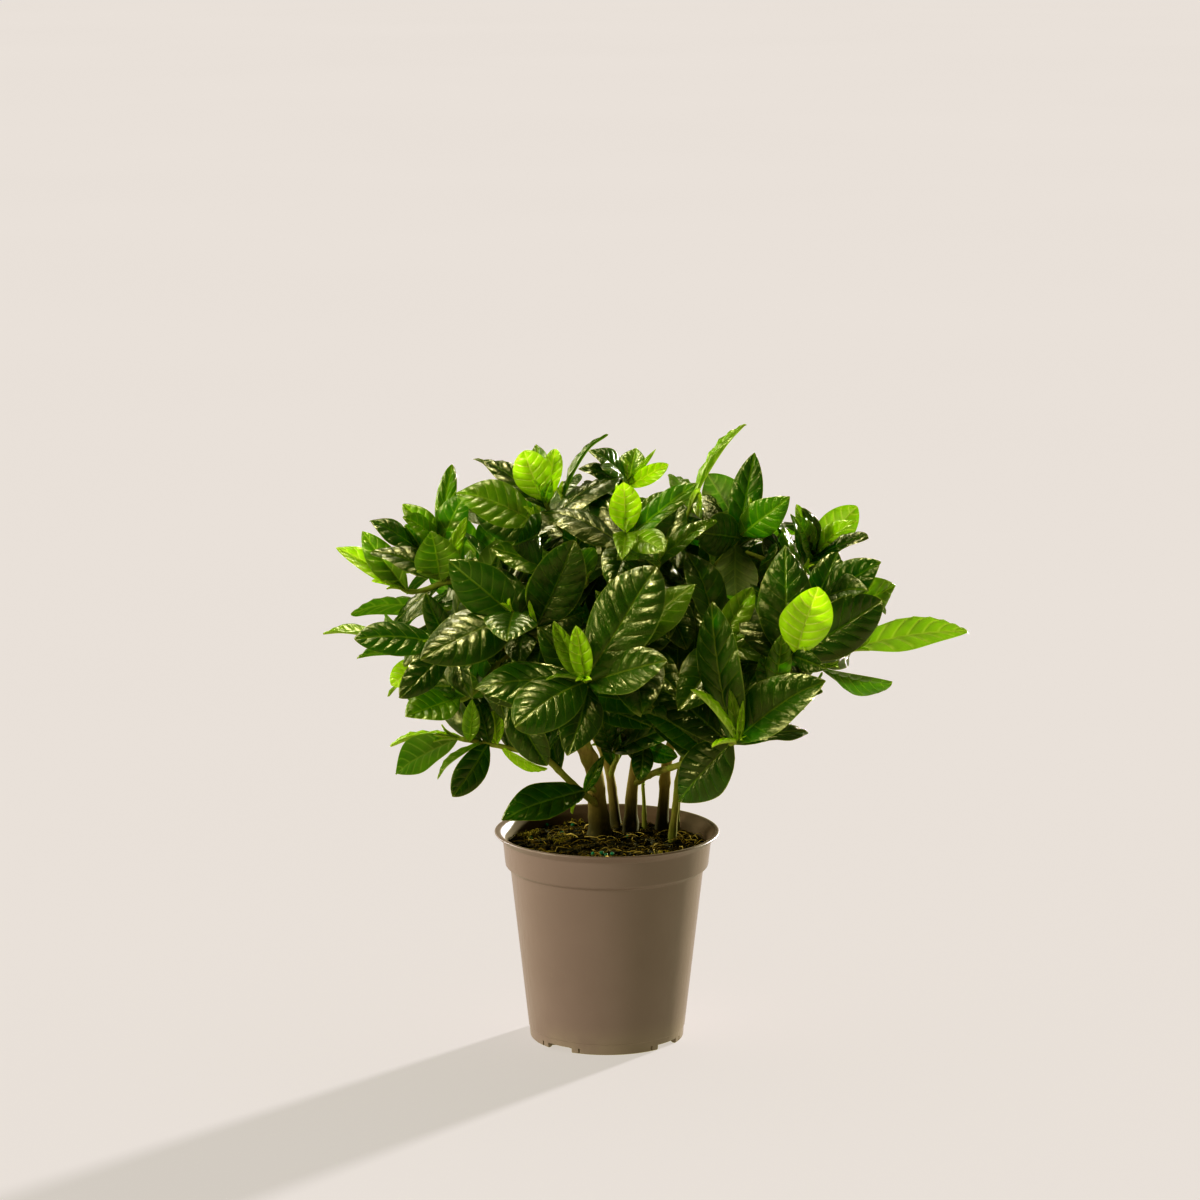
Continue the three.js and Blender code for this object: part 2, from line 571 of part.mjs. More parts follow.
for (const shoot of shoots) {
  const listed = shoot.leaves.length;
  if (listed > 0 && listed < 3) continue;
  const front = listed ? shoot.end.y : -Infinity; // the listed leaves hide the whorls behind them
  const axis = shootAxis(shoot.end);
  const spin = 360 * random();
  for (const [i, whorl] of (listed ? [WHORL_BEHIND] : WHORLS).entries()) {
    for (const leaf of whorlLeaves(shoot.path, axis, spin + 70 * i, whorl, random)) {
      turn += TURN;
      const fits = (tip) => tip.y > front && isInDome(tip) && isClear(shoot.plant, { ...leaf, tip, turn });
      const tip = leaf.tips.find(fits);
      if (tip) grow(shoot.plant, leafSolid({ ...leaf, tip, turn }));
    }
  }
}

const group = new THREE.Group();
group.add(named("pot", pot, taupe), named("soil", soilSolid(holes), compost));
for (const plant of new Set(Object.values(STEMS).map((stem) => stem.plant))) {
  const own = grownPieces.filter((p) => p.plant === plant).map((p) => p.piece);
  group.add(named(plant, whole(wasm.Manifold.union(own)), leafGreen));
}

export default group;
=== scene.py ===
# A gardenia in a plastic nursery pot: the looks of its pot, compost, stems and leaves.
# Lengths are in millimetres, as in the model's own drawing, until a piece's mesh is made in metres.
import functools
import itertools
import math
import random

import bmesh
import bpy
import numpy as np
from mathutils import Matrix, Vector, noise
from mathutils.bvhtree import BVHTree
from mathutils.kdtree import KDTree


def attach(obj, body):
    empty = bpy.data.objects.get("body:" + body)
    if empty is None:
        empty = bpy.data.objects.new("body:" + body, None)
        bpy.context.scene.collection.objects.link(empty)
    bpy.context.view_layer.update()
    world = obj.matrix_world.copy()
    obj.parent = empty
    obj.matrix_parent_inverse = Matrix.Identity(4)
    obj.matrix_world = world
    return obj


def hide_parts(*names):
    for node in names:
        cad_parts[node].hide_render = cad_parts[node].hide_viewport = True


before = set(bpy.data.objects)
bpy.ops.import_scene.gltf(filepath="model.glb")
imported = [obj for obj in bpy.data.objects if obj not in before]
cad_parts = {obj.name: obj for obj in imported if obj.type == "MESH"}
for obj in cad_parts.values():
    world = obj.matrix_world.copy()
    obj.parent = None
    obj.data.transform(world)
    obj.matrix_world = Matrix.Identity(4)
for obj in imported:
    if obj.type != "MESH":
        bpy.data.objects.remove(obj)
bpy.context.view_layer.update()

MM = 0.001
BODY = "root"

# The camera's place, its pitch down in degrees and its lens
CAMERA = {"place": (-4, -2318, 696), "pitch": 10.73, "focal": 123.93, "sensor": 36.0}

# The pot, as in the model
POT = {
    "height": 122, "rim": 65, "band": 60.2, "band_foot": 58.6, "band_height": 20.4, "shoulder": 55.8,
    "base": 45.3, "foot_height": 6.5, "wall": 1.5, "channel": 2.5, "middle": 20,
}
POT_SIDES = 192
POT_ROUNDING = 0.9
POT_BEVEL = 0.22
SLOT = {"count": 4, "first": -38, "inner": 40.3, "width": 17, "height": 3,
        "notch_turn": 17, "notch_width": 1.2, "notch_depth": 1.6}
DRAIN = {"inner": 30, "outer": 36, "width": 10}
GAP = 0.35  # between the compost and the wall
SOIL = {"edge": 112.5, "crown": 2.5, "lump": 0.9}

# The plants, as in the model. A leaf's pairs go from old to young, a shoot's from its foot to its end.
HEART = np.array([8.0, 5.0, 205.0])  # where the shoots point away from
DOME_CENTRE = np.array([8.0, 0.0, 222.0])
DOME_REACH = np.array([158.0, 148.0, 114.0])
UNDERSIDE = {"height": 184, "fall": 0.2, "middle": 60, "rise": 0.35}
FOLD = (0.16, 0.7)  # rise of a leaf's halves, in radians
BOW = (0.075, 0.02)  # height of its bow, as a share of its length
WAVE = (0.022, 0.006)  # height of the waves in it
OUTLINE = {"foot": 0.85, "tip": 0.65}
SHOOT_RADIUS = (1.9, 1.2)
STEM_STEPS = 9  # from one point of a stem's route to the next
SHOOT_STEPS = 18
BUD = 3  # length of a bud, in radii
TURN = 2.4  # from one leaf's waves to the next one's, in radians
SEED = 20260
PLANT_SEED = 5
LITTER_SEED = 11
SEED_STEP = 0x6D2B79F5
WHOLE = 0xFFFFFFFF  # the largest number that the generator's state reaches
ALL_ROUND = 6.3  # a little more than a full turn, in radians
STEMS = {
    "left": ("gardenia_left", [
        (-4, 12, 86), (-5, 9, 128), (-10, -4, 165), (-32, -24, 205), (-60, -38, 245), (-84, -42, 278),
        (-95, -42, 298)], (6.2, 1.5)),
    "left_twig": ("gardenia_left", [
        (-6, 4, 136), (-18, -12, 150), (-36, -24, 170), (-56, -30, 177), (-84, -36, 184)], (2.2, 1.3)),
    "back_left": ("gardenia_back_left", [
        (7, 36, 86), (4, 34, 130), (-4, 30, 165), (-32, 24, 200), (-66, 16, 232), (-96, 4, 252)],
        (2.9, 1.5)),
    "middle": ("gardenia_middle", [
        (14, 24, 86), (14, 22, 130), (18, 14, 170), (20, 6, 210), (15, 10, 262), (12, 22, 322)],
        (3.9, 1.5)),
    "middle_twig": ("gardenia_middle", [
        (15, 20, 144), (26, 4, 154), (42, -32, 168), (56, -72, 184), (72, -105, 198)], (2.1, 1.4)),
    "right": ("gardenia_right", [
        (32, 32, 86), (33, 30, 130), (38, 22, 170), (58, 10, 206), (86, 0, 242), (108, 0, 268),
        (119, 0, 285)], (3.4, 1.5)),
    "right_thin": ("gardenia_right", [
        (40, 29, 86), (41, 28, 130), (46, 22, 165), (66, 4, 202), (96, -36, 222), (120, -62, 231)],
        (1.9, 1.3)),
    "front_right": ("gardenia_front_right", [
        (36, 4, 90), (39, 2, 130), (44, -4, 165), (60, -28, 195), (80, -56, 212), (93, -80, 221)],
        (2.0, 1.3)),
    "sprig": ("gardenia_sprig", [(22, 38, 100), (22, 38, 122), (21, 35, 142)], (1.4, 0.9)),
}
# Shoots that show from the front: stem, where on it the shoot starts (0 to 1), its end, and its leaves.
# A leaf is tip x, y, z, distance of its base from the shoot's end, width, where its upper face looks, youth.
SHOOTS = {
    "front_centre": ("left", 0.3, (-12, -125, 236), [
        (26, -112, 297, 0, 38, "FU", 0.15), (32, -140, 250, 6, 27, "FFU", 0.2),
        (-71, -142, 236, 8, 32, "FU", 0.15), (-48, -165, 221, 4, 32, "FFU", 0.2),
        (-29, -130, 270, 2, 14, "F", 0.6), (-17, -137, 268, 0, 15, "F", 0.85),
        (-33, -140, 241, 1, 5, "U", 0.5), (-21, -142, 199, 12, 25, "F", 0.1)]),
    "front_right": ("middle_twig", 1, (72, -105, 198), [
        (57, -100, 275, 6, 33, "FL", 0.28), (117, -116, 235, 4, 33, "FU", 0.15),
        (46, -122, 231, 2, 12, "RU", 0.8), (57, -122, 199, 1, 6, "U", 0.9),
        (40, -80, 158, 10, 31, "FFU", 0), (89, -88, 229, 3, 14, "FL", 0.2),
        (67, -112, 229, 0, 8, "F", 0.55), (74, -116, 223, 0, 5, "F", 0.6),
        (112, -75, 196, 8, 14, "FU", 0.1), (28, -72, 223, 12, 24, "FU", 0.1)]),
    "right": ("right", 0.5, (104, -92, 244), [
        (114, -118, 284, 0, 37, "F", 0.97), (152, -72, 270, 5, 32, "F", 0.1),
        (119, -112, 240, 3, 12, "F", 0.1), (98, -76, 302, 8, 32, "F", 0.1),
        (80, -62, 269, 12, 28, "F", 0.05)]),
    "far_right": ("right", 0.64, (137, -38, 235), [(203, -42, 247, 2, 38, "BU", 0.66)]),
    "low_right": ("right_thin", 1, (120, -62, 231), [(157, -88, 227, 2, 27, "FD", 0.35)]),
    "inner_right": ("front_right", 1, (93, -80, 221), [
        (96, -96, 256, 0, 15, "F", 0.4), (86, -80, 243, 4, 14, "F", 0.3)]),
    "upper_right": ("right", 0.78, (119, -48, 263), [
        (152, -62, 290, 3, 24, "FU", 0.05), (164, -28, 270, 6, 29, "F", 0.55),
        (142, -84, 279, 2, 20, "FU", 0.05), (129, -42, 292, 8, 18, "F", 0.05)]),
    "top_right": ("right", 1, (119, 0, 285), [
        (143, 12, 309, 4, 24, "B", 0.7), (140, -12, 305, 2, 15, "FU", 0.65),
        (148, -14, 296, 8, 20, "FUU", 0.05), (112, -16, 312, 3, 12, "FR", 0),
        (108, 8, 311, 1, 9, "F", 0.6), (106, -26, 309, 6, 15, "FR", 0.4)]),
    "top_centre_right": ("middle", 0.62, (77, -30, 303), [
        (57, 2, 329, 3, 28, "B", 0.25), (83, -20, 345, 8, 19, "F", 0.15),
        (101, -46, 323, 4, 22, "F", 0.3), (52, -48, 304, 6, 26, "F", 0.1),
        (72, -50, 268, 10, 26, "B", 0)]),
    "tall": ("middle", 0.8, (47, -20, 314), [(77, -14, 361, 0, 16, "LU", 0.6)]),
    "top_centre": ("middle", 0.7, (10, -65, 308), [
        (9, -75, 336, 0, 24, "F", 1), (8, -100, 300, 3, 16, "FU", 0.6),
        (31, -96, 302, 4, 22, "FU", 0.6), (5, -66, 335, 1, 6, "F", 0.9),
        (49, -72, 336, 8, 16, "FU", 0.35), (32, -42, 327, 10, 16, "F", 0.4),
        (40, -40, 321, 8, 20, "F", 0.1), (3, -92, 283, 14, 24, "F", 0.15)]),
    "top_left": ("middle", 0.76, (-35, -45, 322), [
        (-46, -50, 350, 0, 26, "F", 0.85), (-75, -25, 343, 8, 19, "FUU", 0.05),
        (-29, -30, 349, 3, 14, "F", 0.85), (-40, -12, 349, 6, 15, "F", 0.4),
        (-31, -62, 336, 1, 7, "F", 0.5)]),
    "blade_left": ("middle", 0.86, (-25, -18, 318), [(-2, -14, 356, 0, 15, "LU", 0.25)]),
    "olive": ("left", 0.62, (-40, -56, 312), [
        (-83, -60, 330, 2, 30, "FU", 0.45), (-52, -88, 304, 8, 30, "F", 0.1),
        (-74, -48, 317, 5, 24, "F", 0.1)]),
    "crown": ("middle", 1, (12, 22, 322), [
        (-9, 14, 342, 2, 26, "FUU", 0.2), (17, 40, 339, 4, 18, "F", 0.5), (-15, 8, 333, 6, 18, "FUU", 0),
        (0, -12, 336, 8, 20, "FU", 0.25), (28, 20, 341, 0, 4, "F", 0.6), (35, 18, 332, 3, 13, "F", 0.85),
        (-13, -14, 326, 12, 18, "U", 0)]),
    "left_upper": ("left", 0.86, (-93, -65, 281), [
        (-97, -76, 310, 0, 28, "F", 0.5), (-131, -60, 296, 5, 20, "FUU", 0.1),
        (-78, -62, 315, 3, 9, "F", 0.6)]),
    "left_shelf": ("left", 0.9, (-106, -42, 292), [
        (-132, -48, 311, 2, 18, "FUU", 0.1), (-113, -38, 307, 5, 14, "F", 0.35)]),
    "left_lime": ("left", 0.8, (-114, -48, 272), [
        (-137, -44, 304, 2, 19, "F", 0.5), (-152, -38, 294, 0, 17, "FU", 0.75)]),
    "left_top": ("left", 1, (-95, -42, 298), [
        (-80, -50, 326, 3, 20, "FU", 0.3), (-87, -18, 338, 6, 12, "F", 0.35),
        (-114, -38, 319, 4, 16, "FU", 0.5), (-113, -60, 315, 1, 14, "FU", 0.4)]),
    "left_olive": ("back_left", 1, (-96, 4, 252), [
        (-145, -34, 257, 2, 24, "BU", 0.45), (-122, -10, 247, 0, 5, "U", 0.5)]),
    "left_dark": ("left", 0.72, (-92, -72, 245), [
        (-139, -96, 253, 2, 24, "FU", 0.3), (-112, -102, 223, 6, 20, "F", 0),
        (-100, -84, 276, 8, 14, "F", 0.1)]),
    "left_back": ("back_left", 0.85, (-126, -25, 238), [(-161, -20, 242, 2, 16, "U", 0.6)]),
    "left_pale": ("back_left", 0.7, (-100, -35, 228), [
        (-121, -50, 219, 2, 24, "FU", 0.9), (-125, -28, 207, 4, 6, "U", 0.6)]),
    "left_low": ("left", 0.6, (-85, -68, 213), [(-111, -94, 209, 2, 26, "FU", 0.4)]),
    "front_left": ("left", 0.52, (-52, -105, 270), [
        (-101, -132, 249, 4, 34, "FU", 0.1), (-86, -112, 299, 8, 29, "F", 0.25),
        (-54, -148, 263, 2, 31, "FU", 0.25)]),
    "front_grey": ("left", 0.46, (-39, -92, 261), [
        (-18, -102, 309, 2, 31, "F", 0.1), (-12, -72, 264, 5, 22, "F", 0.1)]),
    "twig_left": ("left_twig", 1, (-84, -36, 184), [
        (-120, -44, 166, 0, 32, "BU", 0.36), (-124, -20, 178, 2, 12, "U", 0.8),
        (-97, -44, 164, 14, 9, "U", 0.4), (-87, -56, 155, 17, 18, "F", 0.15),
        (-76, -42, 208, 6, 11, "F", 0.45), (-73, -26, 202, 18, 12, "F", 0.1),
        (-65, -22, 197, 22, 13, "F", 0.8), (-34, -20, 162, 26, 11, "FD", 0.85)]),
    "hanging_left": ("left", 0.48, (-55, -84, 217), [(-33, -92, 181, 2, 21, "F", 0.05)]),
    "low_leaf": ("left", 0.2, (-14, -14, 147), [
        (-59, -44, 140, 2, 25, "FU", 0.1), (-2, -16, 169, 2, 8, "F", 0.3)]),
    "low_middle": ("back_left", 0.26, (2, 0, 170), [
        (-4, -14, 189, 2, 14, "F", 0.1), (11, -16, 186, 3, 12, "FU", 0.1),
        (47, -30, 192, 6, 18, "FU", 0.1), (-6, -20, 200, 8, 14, "F", 0.2)]),
    "low_back": ("middle", 0.3, (22, -4, 175), [
        (19, -16, 155, 2, 13, "F", 0.1), (40, -10, 167, 4, 13, "F", 0.05)]),
    "sprig": ("sprig", 1, (21, 35, 142), [(31, 30, 148, 0, 4, "U", 0.3), (16, 32, 150, 2, 4, "U", 0.4)]),
}
# Shoots that the front leaves hide: rings round the plant, as height, radius, first and last angle, how many
RINGS = [
    (192, 94, 2, 178, 3), (228, 116, -14, 176, 6), (270, 98, -4, 184, 5), (298, 52, 25, 155, 2),
    (208, 78, -154, -16, 4), (250, 84, -166, -8, 5), (286, 62, -165, -15, 4),
]
# A ring's shoot grows from the stem on its side, in front and behind: up to an x, from that stem
SIDES = {
    "front": [(-4, "left"), (36, "middle"), (math.inf, "right")],
    "behind": [(-18, "back_left"), (40, "middle"), (math.inf, "right")],
}
# A whorl of leaves: its distance back from the shoot's end, how many, their length, their angle to the shoot
WHORLS = [(1, 2, 34, 30), (6, 2, 50, 55), (15, 2, 60, 78)]
WHORL_BEHIND = (14, 2, 54, 70)
FEW_LEAVES = (1, 2)  # a shoot with so many listed leaves has no whorls
SLIM = 0.46  # width of a whorl's leaf, as a share of its length
# Turns and lifts, in degrees, by which a whorl's leaf may be bent clear of the others
BENDS = [(0, 0), (20, 0), (-20, 0), (0, -16), (0, 16), (38, -8), (-38, -8)]
SAME_PLACE = 0.3  # how near to a corner of the model's plant a leaf's tip lies if the model has that leaf
# Leaves inside the bush, on the older part of a shoot, as whorls are given. Their tips stay inside a share
# of the dome, and each may be turned and lifted, in degrees, to keep clear of what is there.
INNER = [(23, 2, 46, 58), (32, 2, 46, 64), (42, 2, 42, 70), (53, 2, 40, 74), (65, 2, 36, 76), (78, 2, 34, 78)]
INNER_DOME = 0.9
INNER_RANGE = {"size": (0.85, 1.15), "turn": (-15, 15), "lean": (-8, 8), "youth": (0, 0.22)}
INNER_LIFT = {"way": np.array([0, 0, 0.12]), "look": np.array([0, 0, 0.35])}
INNER_BENDS = [(0, 0), (30, 0), (-30, 0), (0, -25), (60, -10), (-60, -10), (90, 0), (0, 25)]


# Vectors and chance

def unit(v):
    return v / np.linalg.norm(v)


def sides_of(axis):
    """Two directions across an axis and each other"""
    first = unit(np.cross(axis, (0.3, 0.2, 0.93)))
    return first, np.cross(axis, first)


def leaned(axis, sides, turn, lean):
    """A direction that leans away from an axis by an angle, turned round it by another"""
    out = sides[0] * math.cos(turn) + sides[1] * math.sin(turn)
    return axis * math.cos(lean) + out * math.sin(lean)


def mix(a, b, share):
    return a + (b - a) * share


def smooth(low, high, value):
    """0 below low, 1 above high and an even curve between them"""
    share = np.clip((value - low) / (high - low), 0, 1)
    return share * share * (3 - 2 * share)


def seeded(seed):
    """The model's own generator of numbers from 0 to 1"""
    state = seed

    def draw():
        nonlocal state
        state = (state + SEED_STEP) & WHOLE
        t = ((state ^ (state >> 15)) * (state | 1)) & WHOLE
        t = ((t + ((t ^ (t >> 7)) * (t | 61))) & WHOLE) ^ t
        return ((t ^ (t >> 14)) & WHOLE) / (WHOLE + 1)

    return draw


# Stems and shoots

class StemCurve:
    """The smooth curve through a stem's route, from 0 at its root to 1 at its end"""

    def __init__(self, route):
        self.route = [np.array(p, float) for p in route]

    def point(self, t):
        route = self.route
        last = len(route) - 1
        i = min(int(t * last), last - 1)
        w = t * last - i
        before = route[i - 1] if i > 0 else 2 * route[0] - route[1]
        after = route[i + 2] if i + 2 <= last else 2 * route[last] - route[last - 1]
        a, b = 0.5 * (route[i + 1] - before), 0.5 * (after - route[i])
        gone = route[i] - route[i + 1]
        return route[i] + a * w + (-3 * gone - 2 * a - b) * w**2 + (2 * gone + a + b) * w**3

    def points(self, count):
        return [self.point(i / count) for i in range(count + 1)]

    def tangent(self, t):
        step = 0.0001
        return unit(self.point(min(t + step, 1)) - self.point(max(t - step, 0)))


CURVES = {name: StemCurve(route) for name, (_, route, _) in STEMS.items()}


def shoot_axis(end):
    """The way a shoot points at its end: outwards and up"""
    return unit(end - HEART + np.array([0, 0, 40.0]))


def shoot_points(shoot, count):
    """Points of a shoot from its stem to its end; one that starts at 1 is the stem's own end"""
    curve, end = CURVES[shoot["stem"]], shoot["end"]
    if shoot["start"] >= 1:
        return curve.points(count)
    p0 = curve.point(shoot["start"])
    reach = 0.35 * np.linalg.norm(p0 - end)
    p1 = p0 + curve.tangent(shoot["start"]) * reach
    p2 = end - shoot_axis(end) * reach
    ts = [i / count for i in range(count + 1)]
    return [(1 - t)**3 * p0 + 3 * (1 - t)**2 * t * p1 + 3 * (1 - t) * t**2 * p2 + t**3 * end for t in ts]


def model_points(shoot):
    """The few points that the model's shoot passes through"""
    if shoot["start"] < 1:
        return shoot_points(shoot, 3)
    return shoot_points(shoot, 2 * (len(STEMS[shoot["stem"]][1]) - 1))


def point_back(path, back):
    """The point of a path that lies a distance back from its end"""
    for i in range(len(path) - 1, 0, -1):
        step = np.linalg.norm(path[i] - path[i - 1])
        if back <= step:
            return mix(path[i], path[i - 1], back / step)
        back -= step
    return path[0]


def ring_shoots(draw):
    shoots = []
    for ring, (height, radius, first, last, count) in enumerate(RINGS):
        for i in range(count):
            angle = math.radians(mix(first, last, i / (count - 1)) + 14 * (draw() - 0.5))
            out = radius * (0.92 + 0.16 * draw())
            z = height + 14 * (draw() - 0.5)
            end = np.array([DOME_CENTRE[0] + out * math.cos(angle), out * math.sin(angle), z])
            stem = next(s for x, s in SIDES["front" if end[1] < 0 else "behind"] if end[0] < x)
            start = mix(0.36, 0.84, (height - 180) / 130)
            name = f"ring_{ring + 1}_{i + 1}"
            shoots.append({"name": name, "stem": stem, "start": start, "end": end, "leaves": []})
    return shoots


# The leaves' places

WAYS = {"F": (0, -1, 0), "B": (0, 1, 0), "U": (0, 0, 1), "D": (0, 0, -1), "L": (-1, 0, 0), "R": (1, 0, 0)}


def listed_leaves(shoot):
    path = model_points(shoot)
    return [{
        "base": point_back(path, back), "back": back, "tip": np.array([x, y, z], float), "width": width,
        "look": sum(np.array(WAYS[letter], float) for letter in look), "youth": youth,
    } for x, y, z, back, width, look, youth in shoot["leaves"]]


def whorl_leaves(shoot, spin, whorl, draw):
    """A whorl's leaves, each with the tips that it has as it is bent clear of the others"""
    back, count, length, open_ = whorl
    axis = shoot_axis(shoot["end"])
    first = unit(np.array([axis[1], -axis[0], 0]))
    sides = first, np.cross(axis, first)
    base = point_back(model_points(shoot), back)
    leaves = []
    for j in range(count):
        round_, opening, size, age = draw(), draw(), draw(), draw()
        long = length * (0.88 + 0.3 * size)
        tips = []
        for aside, lift in BENDS:
            turn = math.radians(spin + (360 / count) * j + 24 * (round_ - 0.5) + aside)
            lean = math.radians(open_ + 16 * (opening - 0.5) + lift)
            way = leaned(axis, sides, turn, lean)
            way[2] -= 0.005 * back
            tips.append(base + unit(way) * long)
        youth = max(0, 0.42 - 0.025 * back + 0.3 * (age - 0.5))
        leaves.append({"base": base, "back": back, "tips": tips, "width": SLIM * long, "look": axis,
                       "youth": youth})
    return leaves


def tips_of_model():
    """For each plant, a search tree of the places of its solid's corners"""
    trees = {}
    for plant in {plant for plant, _, _ in STEMS.values()}:
        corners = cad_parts[plant].data.vertices
        tree = KDTree(len(corners))
        for i, corner in enumerate(corners):
            tree.insert(corner.co, i)
        tree.balance()
        trees[plant] = tree
    return trees


class Crowd:
    """Rough shapes of leaves and stems, which a new leaf keeps clear of"""

    def __init__(self):
        self.shapes = []

    def add(self, shape, owner=None):
        self.shapes.append((*shape, owner))

    def is_clear(self, shape, owner):
        tree, centre, reach = shape
        return not any(
            whose != owner and math.dist(centre, middle) < reach + far and tree.overlap(other)
            for other, middle, far, whose in self.shapes)


def rough_shape(rows):
    """A net of flat faces over rows of places, with its middle and its reach"""
    rows = np.array(rows)
    count, wide = rows.shape[:2]
    places = rows.reshape(-1, 3)
    faces = [(i * wide + k, i * wide + k + 1, (i + 1) * wide + k + 1, (i + 1) * wide + k)
             for i in range(count - 1) for k in range(wide - 1)]
    middle = places.mean(axis=0)
    reach = np.linalg.norm(places - middle, axis=1).max()
    return BVHTree.FromPolygons(places.tolist(), faces), tuple(middle), reach


def directions(leaf):
    """A leaf's length, and its directions from base to tip, out of its upper face and to its right"""
    long = np.linalg.norm(leaf["tip"] - leaf["base"])
    along = (leaf["tip"] - leaf["base"]) / long
    up = unit(leaf["look"] - along * leaf["look"].dot(along))
    return long, along, up, np.cross(along, up)


def rough_blade(leaf):
    long, along, up, right = directions(leaf)
    youth = leaf["youth"]
    rows = []
    for s in (0.1, 0.3, 0.55, 0.8, 0.97):
        half = leaf["width"] / 2 * outline(s)
        middle = leaf["base"] + along * long * s + up * (4 * mix(*BOW, youth) * long * s * (1 - s))
        rows.append([middle + right * half * u + up * half * abs(u) * mix(*FOLD, youth) for u in (-1, 0, 1)])
    return rough_shape(rows)


def rough_stem(path, radius):
    ring = [unit(np.array(way)) * radius for way in ((1, 0.3, 0.2), (-0.4, 0.9, 0.3), (-0.5, -0.8, 0.4))]
    return rough_shape([[p + way for way in ring + ring[:1]] for p in path])


def is_inside(tip):
    aside = max(0, abs(tip[0] - DOME_CENTRE[0]) - UNDERSIDE["middle"])
    if tip[2] < UNDERSIDE["height"] - UNDERSIDE["fall"] * tip[1] + UNDERSIDE["rise"] * aside:
        return False
    return np.linalg.norm((tip - DOME_CENTRE) / DOME_REACH) < INNER_DOME


def crowd_of(shoots):
    """The stems, the shoots and their leaves so far"""
    crowd = Crowd()
    for name, (_, route, radius) in STEMS.items():
        crowd.add(rough_stem(CURVES[name].points(3 * len(route)), radius[0]), name)
    for shoot in shoots:
        if shoot["start"] < 1:
            crowd.add(rough_stem(shoot["path"][::3], SHOOT_RADIUS[0]), shoot["name"])
        for leaf in shoot["grown"]:
            crowd.add(rough_blade(leaf))
    return crowd


def inner_whorls(shoot, chance):
    """Down the older part of a shoot, each inner leaf with the way of its shoot, its turn and its lean"""
    path = shoot["path"]
    long = sum(np.linalg.norm(b - a) for a, b in zip(path, path[1:]))
    spin = chance.uniform(0, 360)
    for back, count, length, open_ in INNER:
        if back > min(0.9 * long, long - 6):
            return
        spin += 90
        base = point_back(path, back)
        axis = unit(point_back(path, back - 4) - base)
        for j in range(count):
            share, around, lean, youth = [chance.uniform(*reach) for reach in INNER_RANGE.values()]
            size = length * share
            leaf = {"base": base, "back": back, "width": SLIM * size, "look": unit(axis + INNER_LIFT["look"]),
                    "youth": youth, "listed": False}
            yield leaf, axis, size, spin + 360 / count * j + around, open_ + lean


def fill_inside(shoots):
    """Adds leaves on the older part of each shoot, where they keep clear of what is there"""
    chance = random.Random(SEED)
    crowd = crowd_of(shoots)
    for shoot in shoots:
        own = shoot["name"] if shoot["start"] < 1 else shoot["stem"]
        for leaf, axis, size, around, lean in inner_whorls(shoot, chance):
            sides = sides_of(axis)
            for aside, lift in INNER_BENDS:
                way = leaned(axis, sides, math.radians(around + aside), math.radians(lean + lift))
                leaf["tip"] = leaf["base"] + unit(way + INNER_LIFT["way"]) * size
                leaf["turn"] = 9 * chance.random()
                shape = rough_blade(leaf)
                if is_inside(leaf["tip"]) and crowd.is_clear(shape, own):
                    crowd.add(shape)
                    shoot["grown"].append(leaf)
                    break


def add_whorls(shoot, tree, turns, draw):
    """Adds the leaves of a shoot's whorls, of those that the model's plant has too"""
    spin = 360 * draw()
    for i, whorl in enumerate([WHORL_BEHIND] if shoot["leaves"] else WHORLS):
        for leaf in whorl_leaves(shoot, spin + 70 * i, whorl, draw):
            leaf.update(turn=next(turns), listed=False)
            far = [tree.find(Vector(tip * MM))[2] for tip in leaf["tips"]]
            if min(far) < SAME_PLACE * MM:
                leaf["tip"] = leaf["tips"][far.index(min(far))]
                shoot["grown"].append(leaf)


def grown_shoots():
    """All shoots with their leaves: the model's own, and smaller ones inside the bush"""
    draw = seeded(SEED)
    turns = itertools.count(TURN, TURN)
    shoots = [{"name": name, "stem": stem, "start": start, "end": np.array(end, float), "leaves": leaves}
              for name, (stem, start, end, leaves) in SHOOTS.items()]
    shoots += ring_shoots(draw)
    for shoot in shoots:
        plant, route, _ = STEMS[shoot["stem"]]
        steps = STEM_STEPS * (len(route) - 1) if shoot["start"] >= 1 else SHOOT_STEPS
        grown = [{**leaf, "turn": next(turns), "listed": True} for leaf in listed_leaves(shoot)]
        shoot.update(plant=plant, path=shoot_points(shoot, steps), grown=grown)
    trees = tips_of_model()
    for shoot in shoots:
        if len(shoot["leaves"]) in FEW_LEAVES:
            continue
        add_whorls(shoot, trees[shoot["plant"]], turns, draw)
        for leaf in shoot["grown"]:
            leaf["base"] = point_back(shoot["path"], leaf["back"])
    fill_inside(shoots)
    return shoots


# Meshes

def placed(name, data):
    """A new object in the scene"""
    made = bpy.data.objects.new(name, data)
    bpy.context.scene.collection.objects.link(made)
    return made


def mesh_of(name, places, faces):
    mesh = bpy.data.meshes.new(name)
    mesh.from_pydata((np.array(places) * MM).tolist(), [], faces)
    return mesh


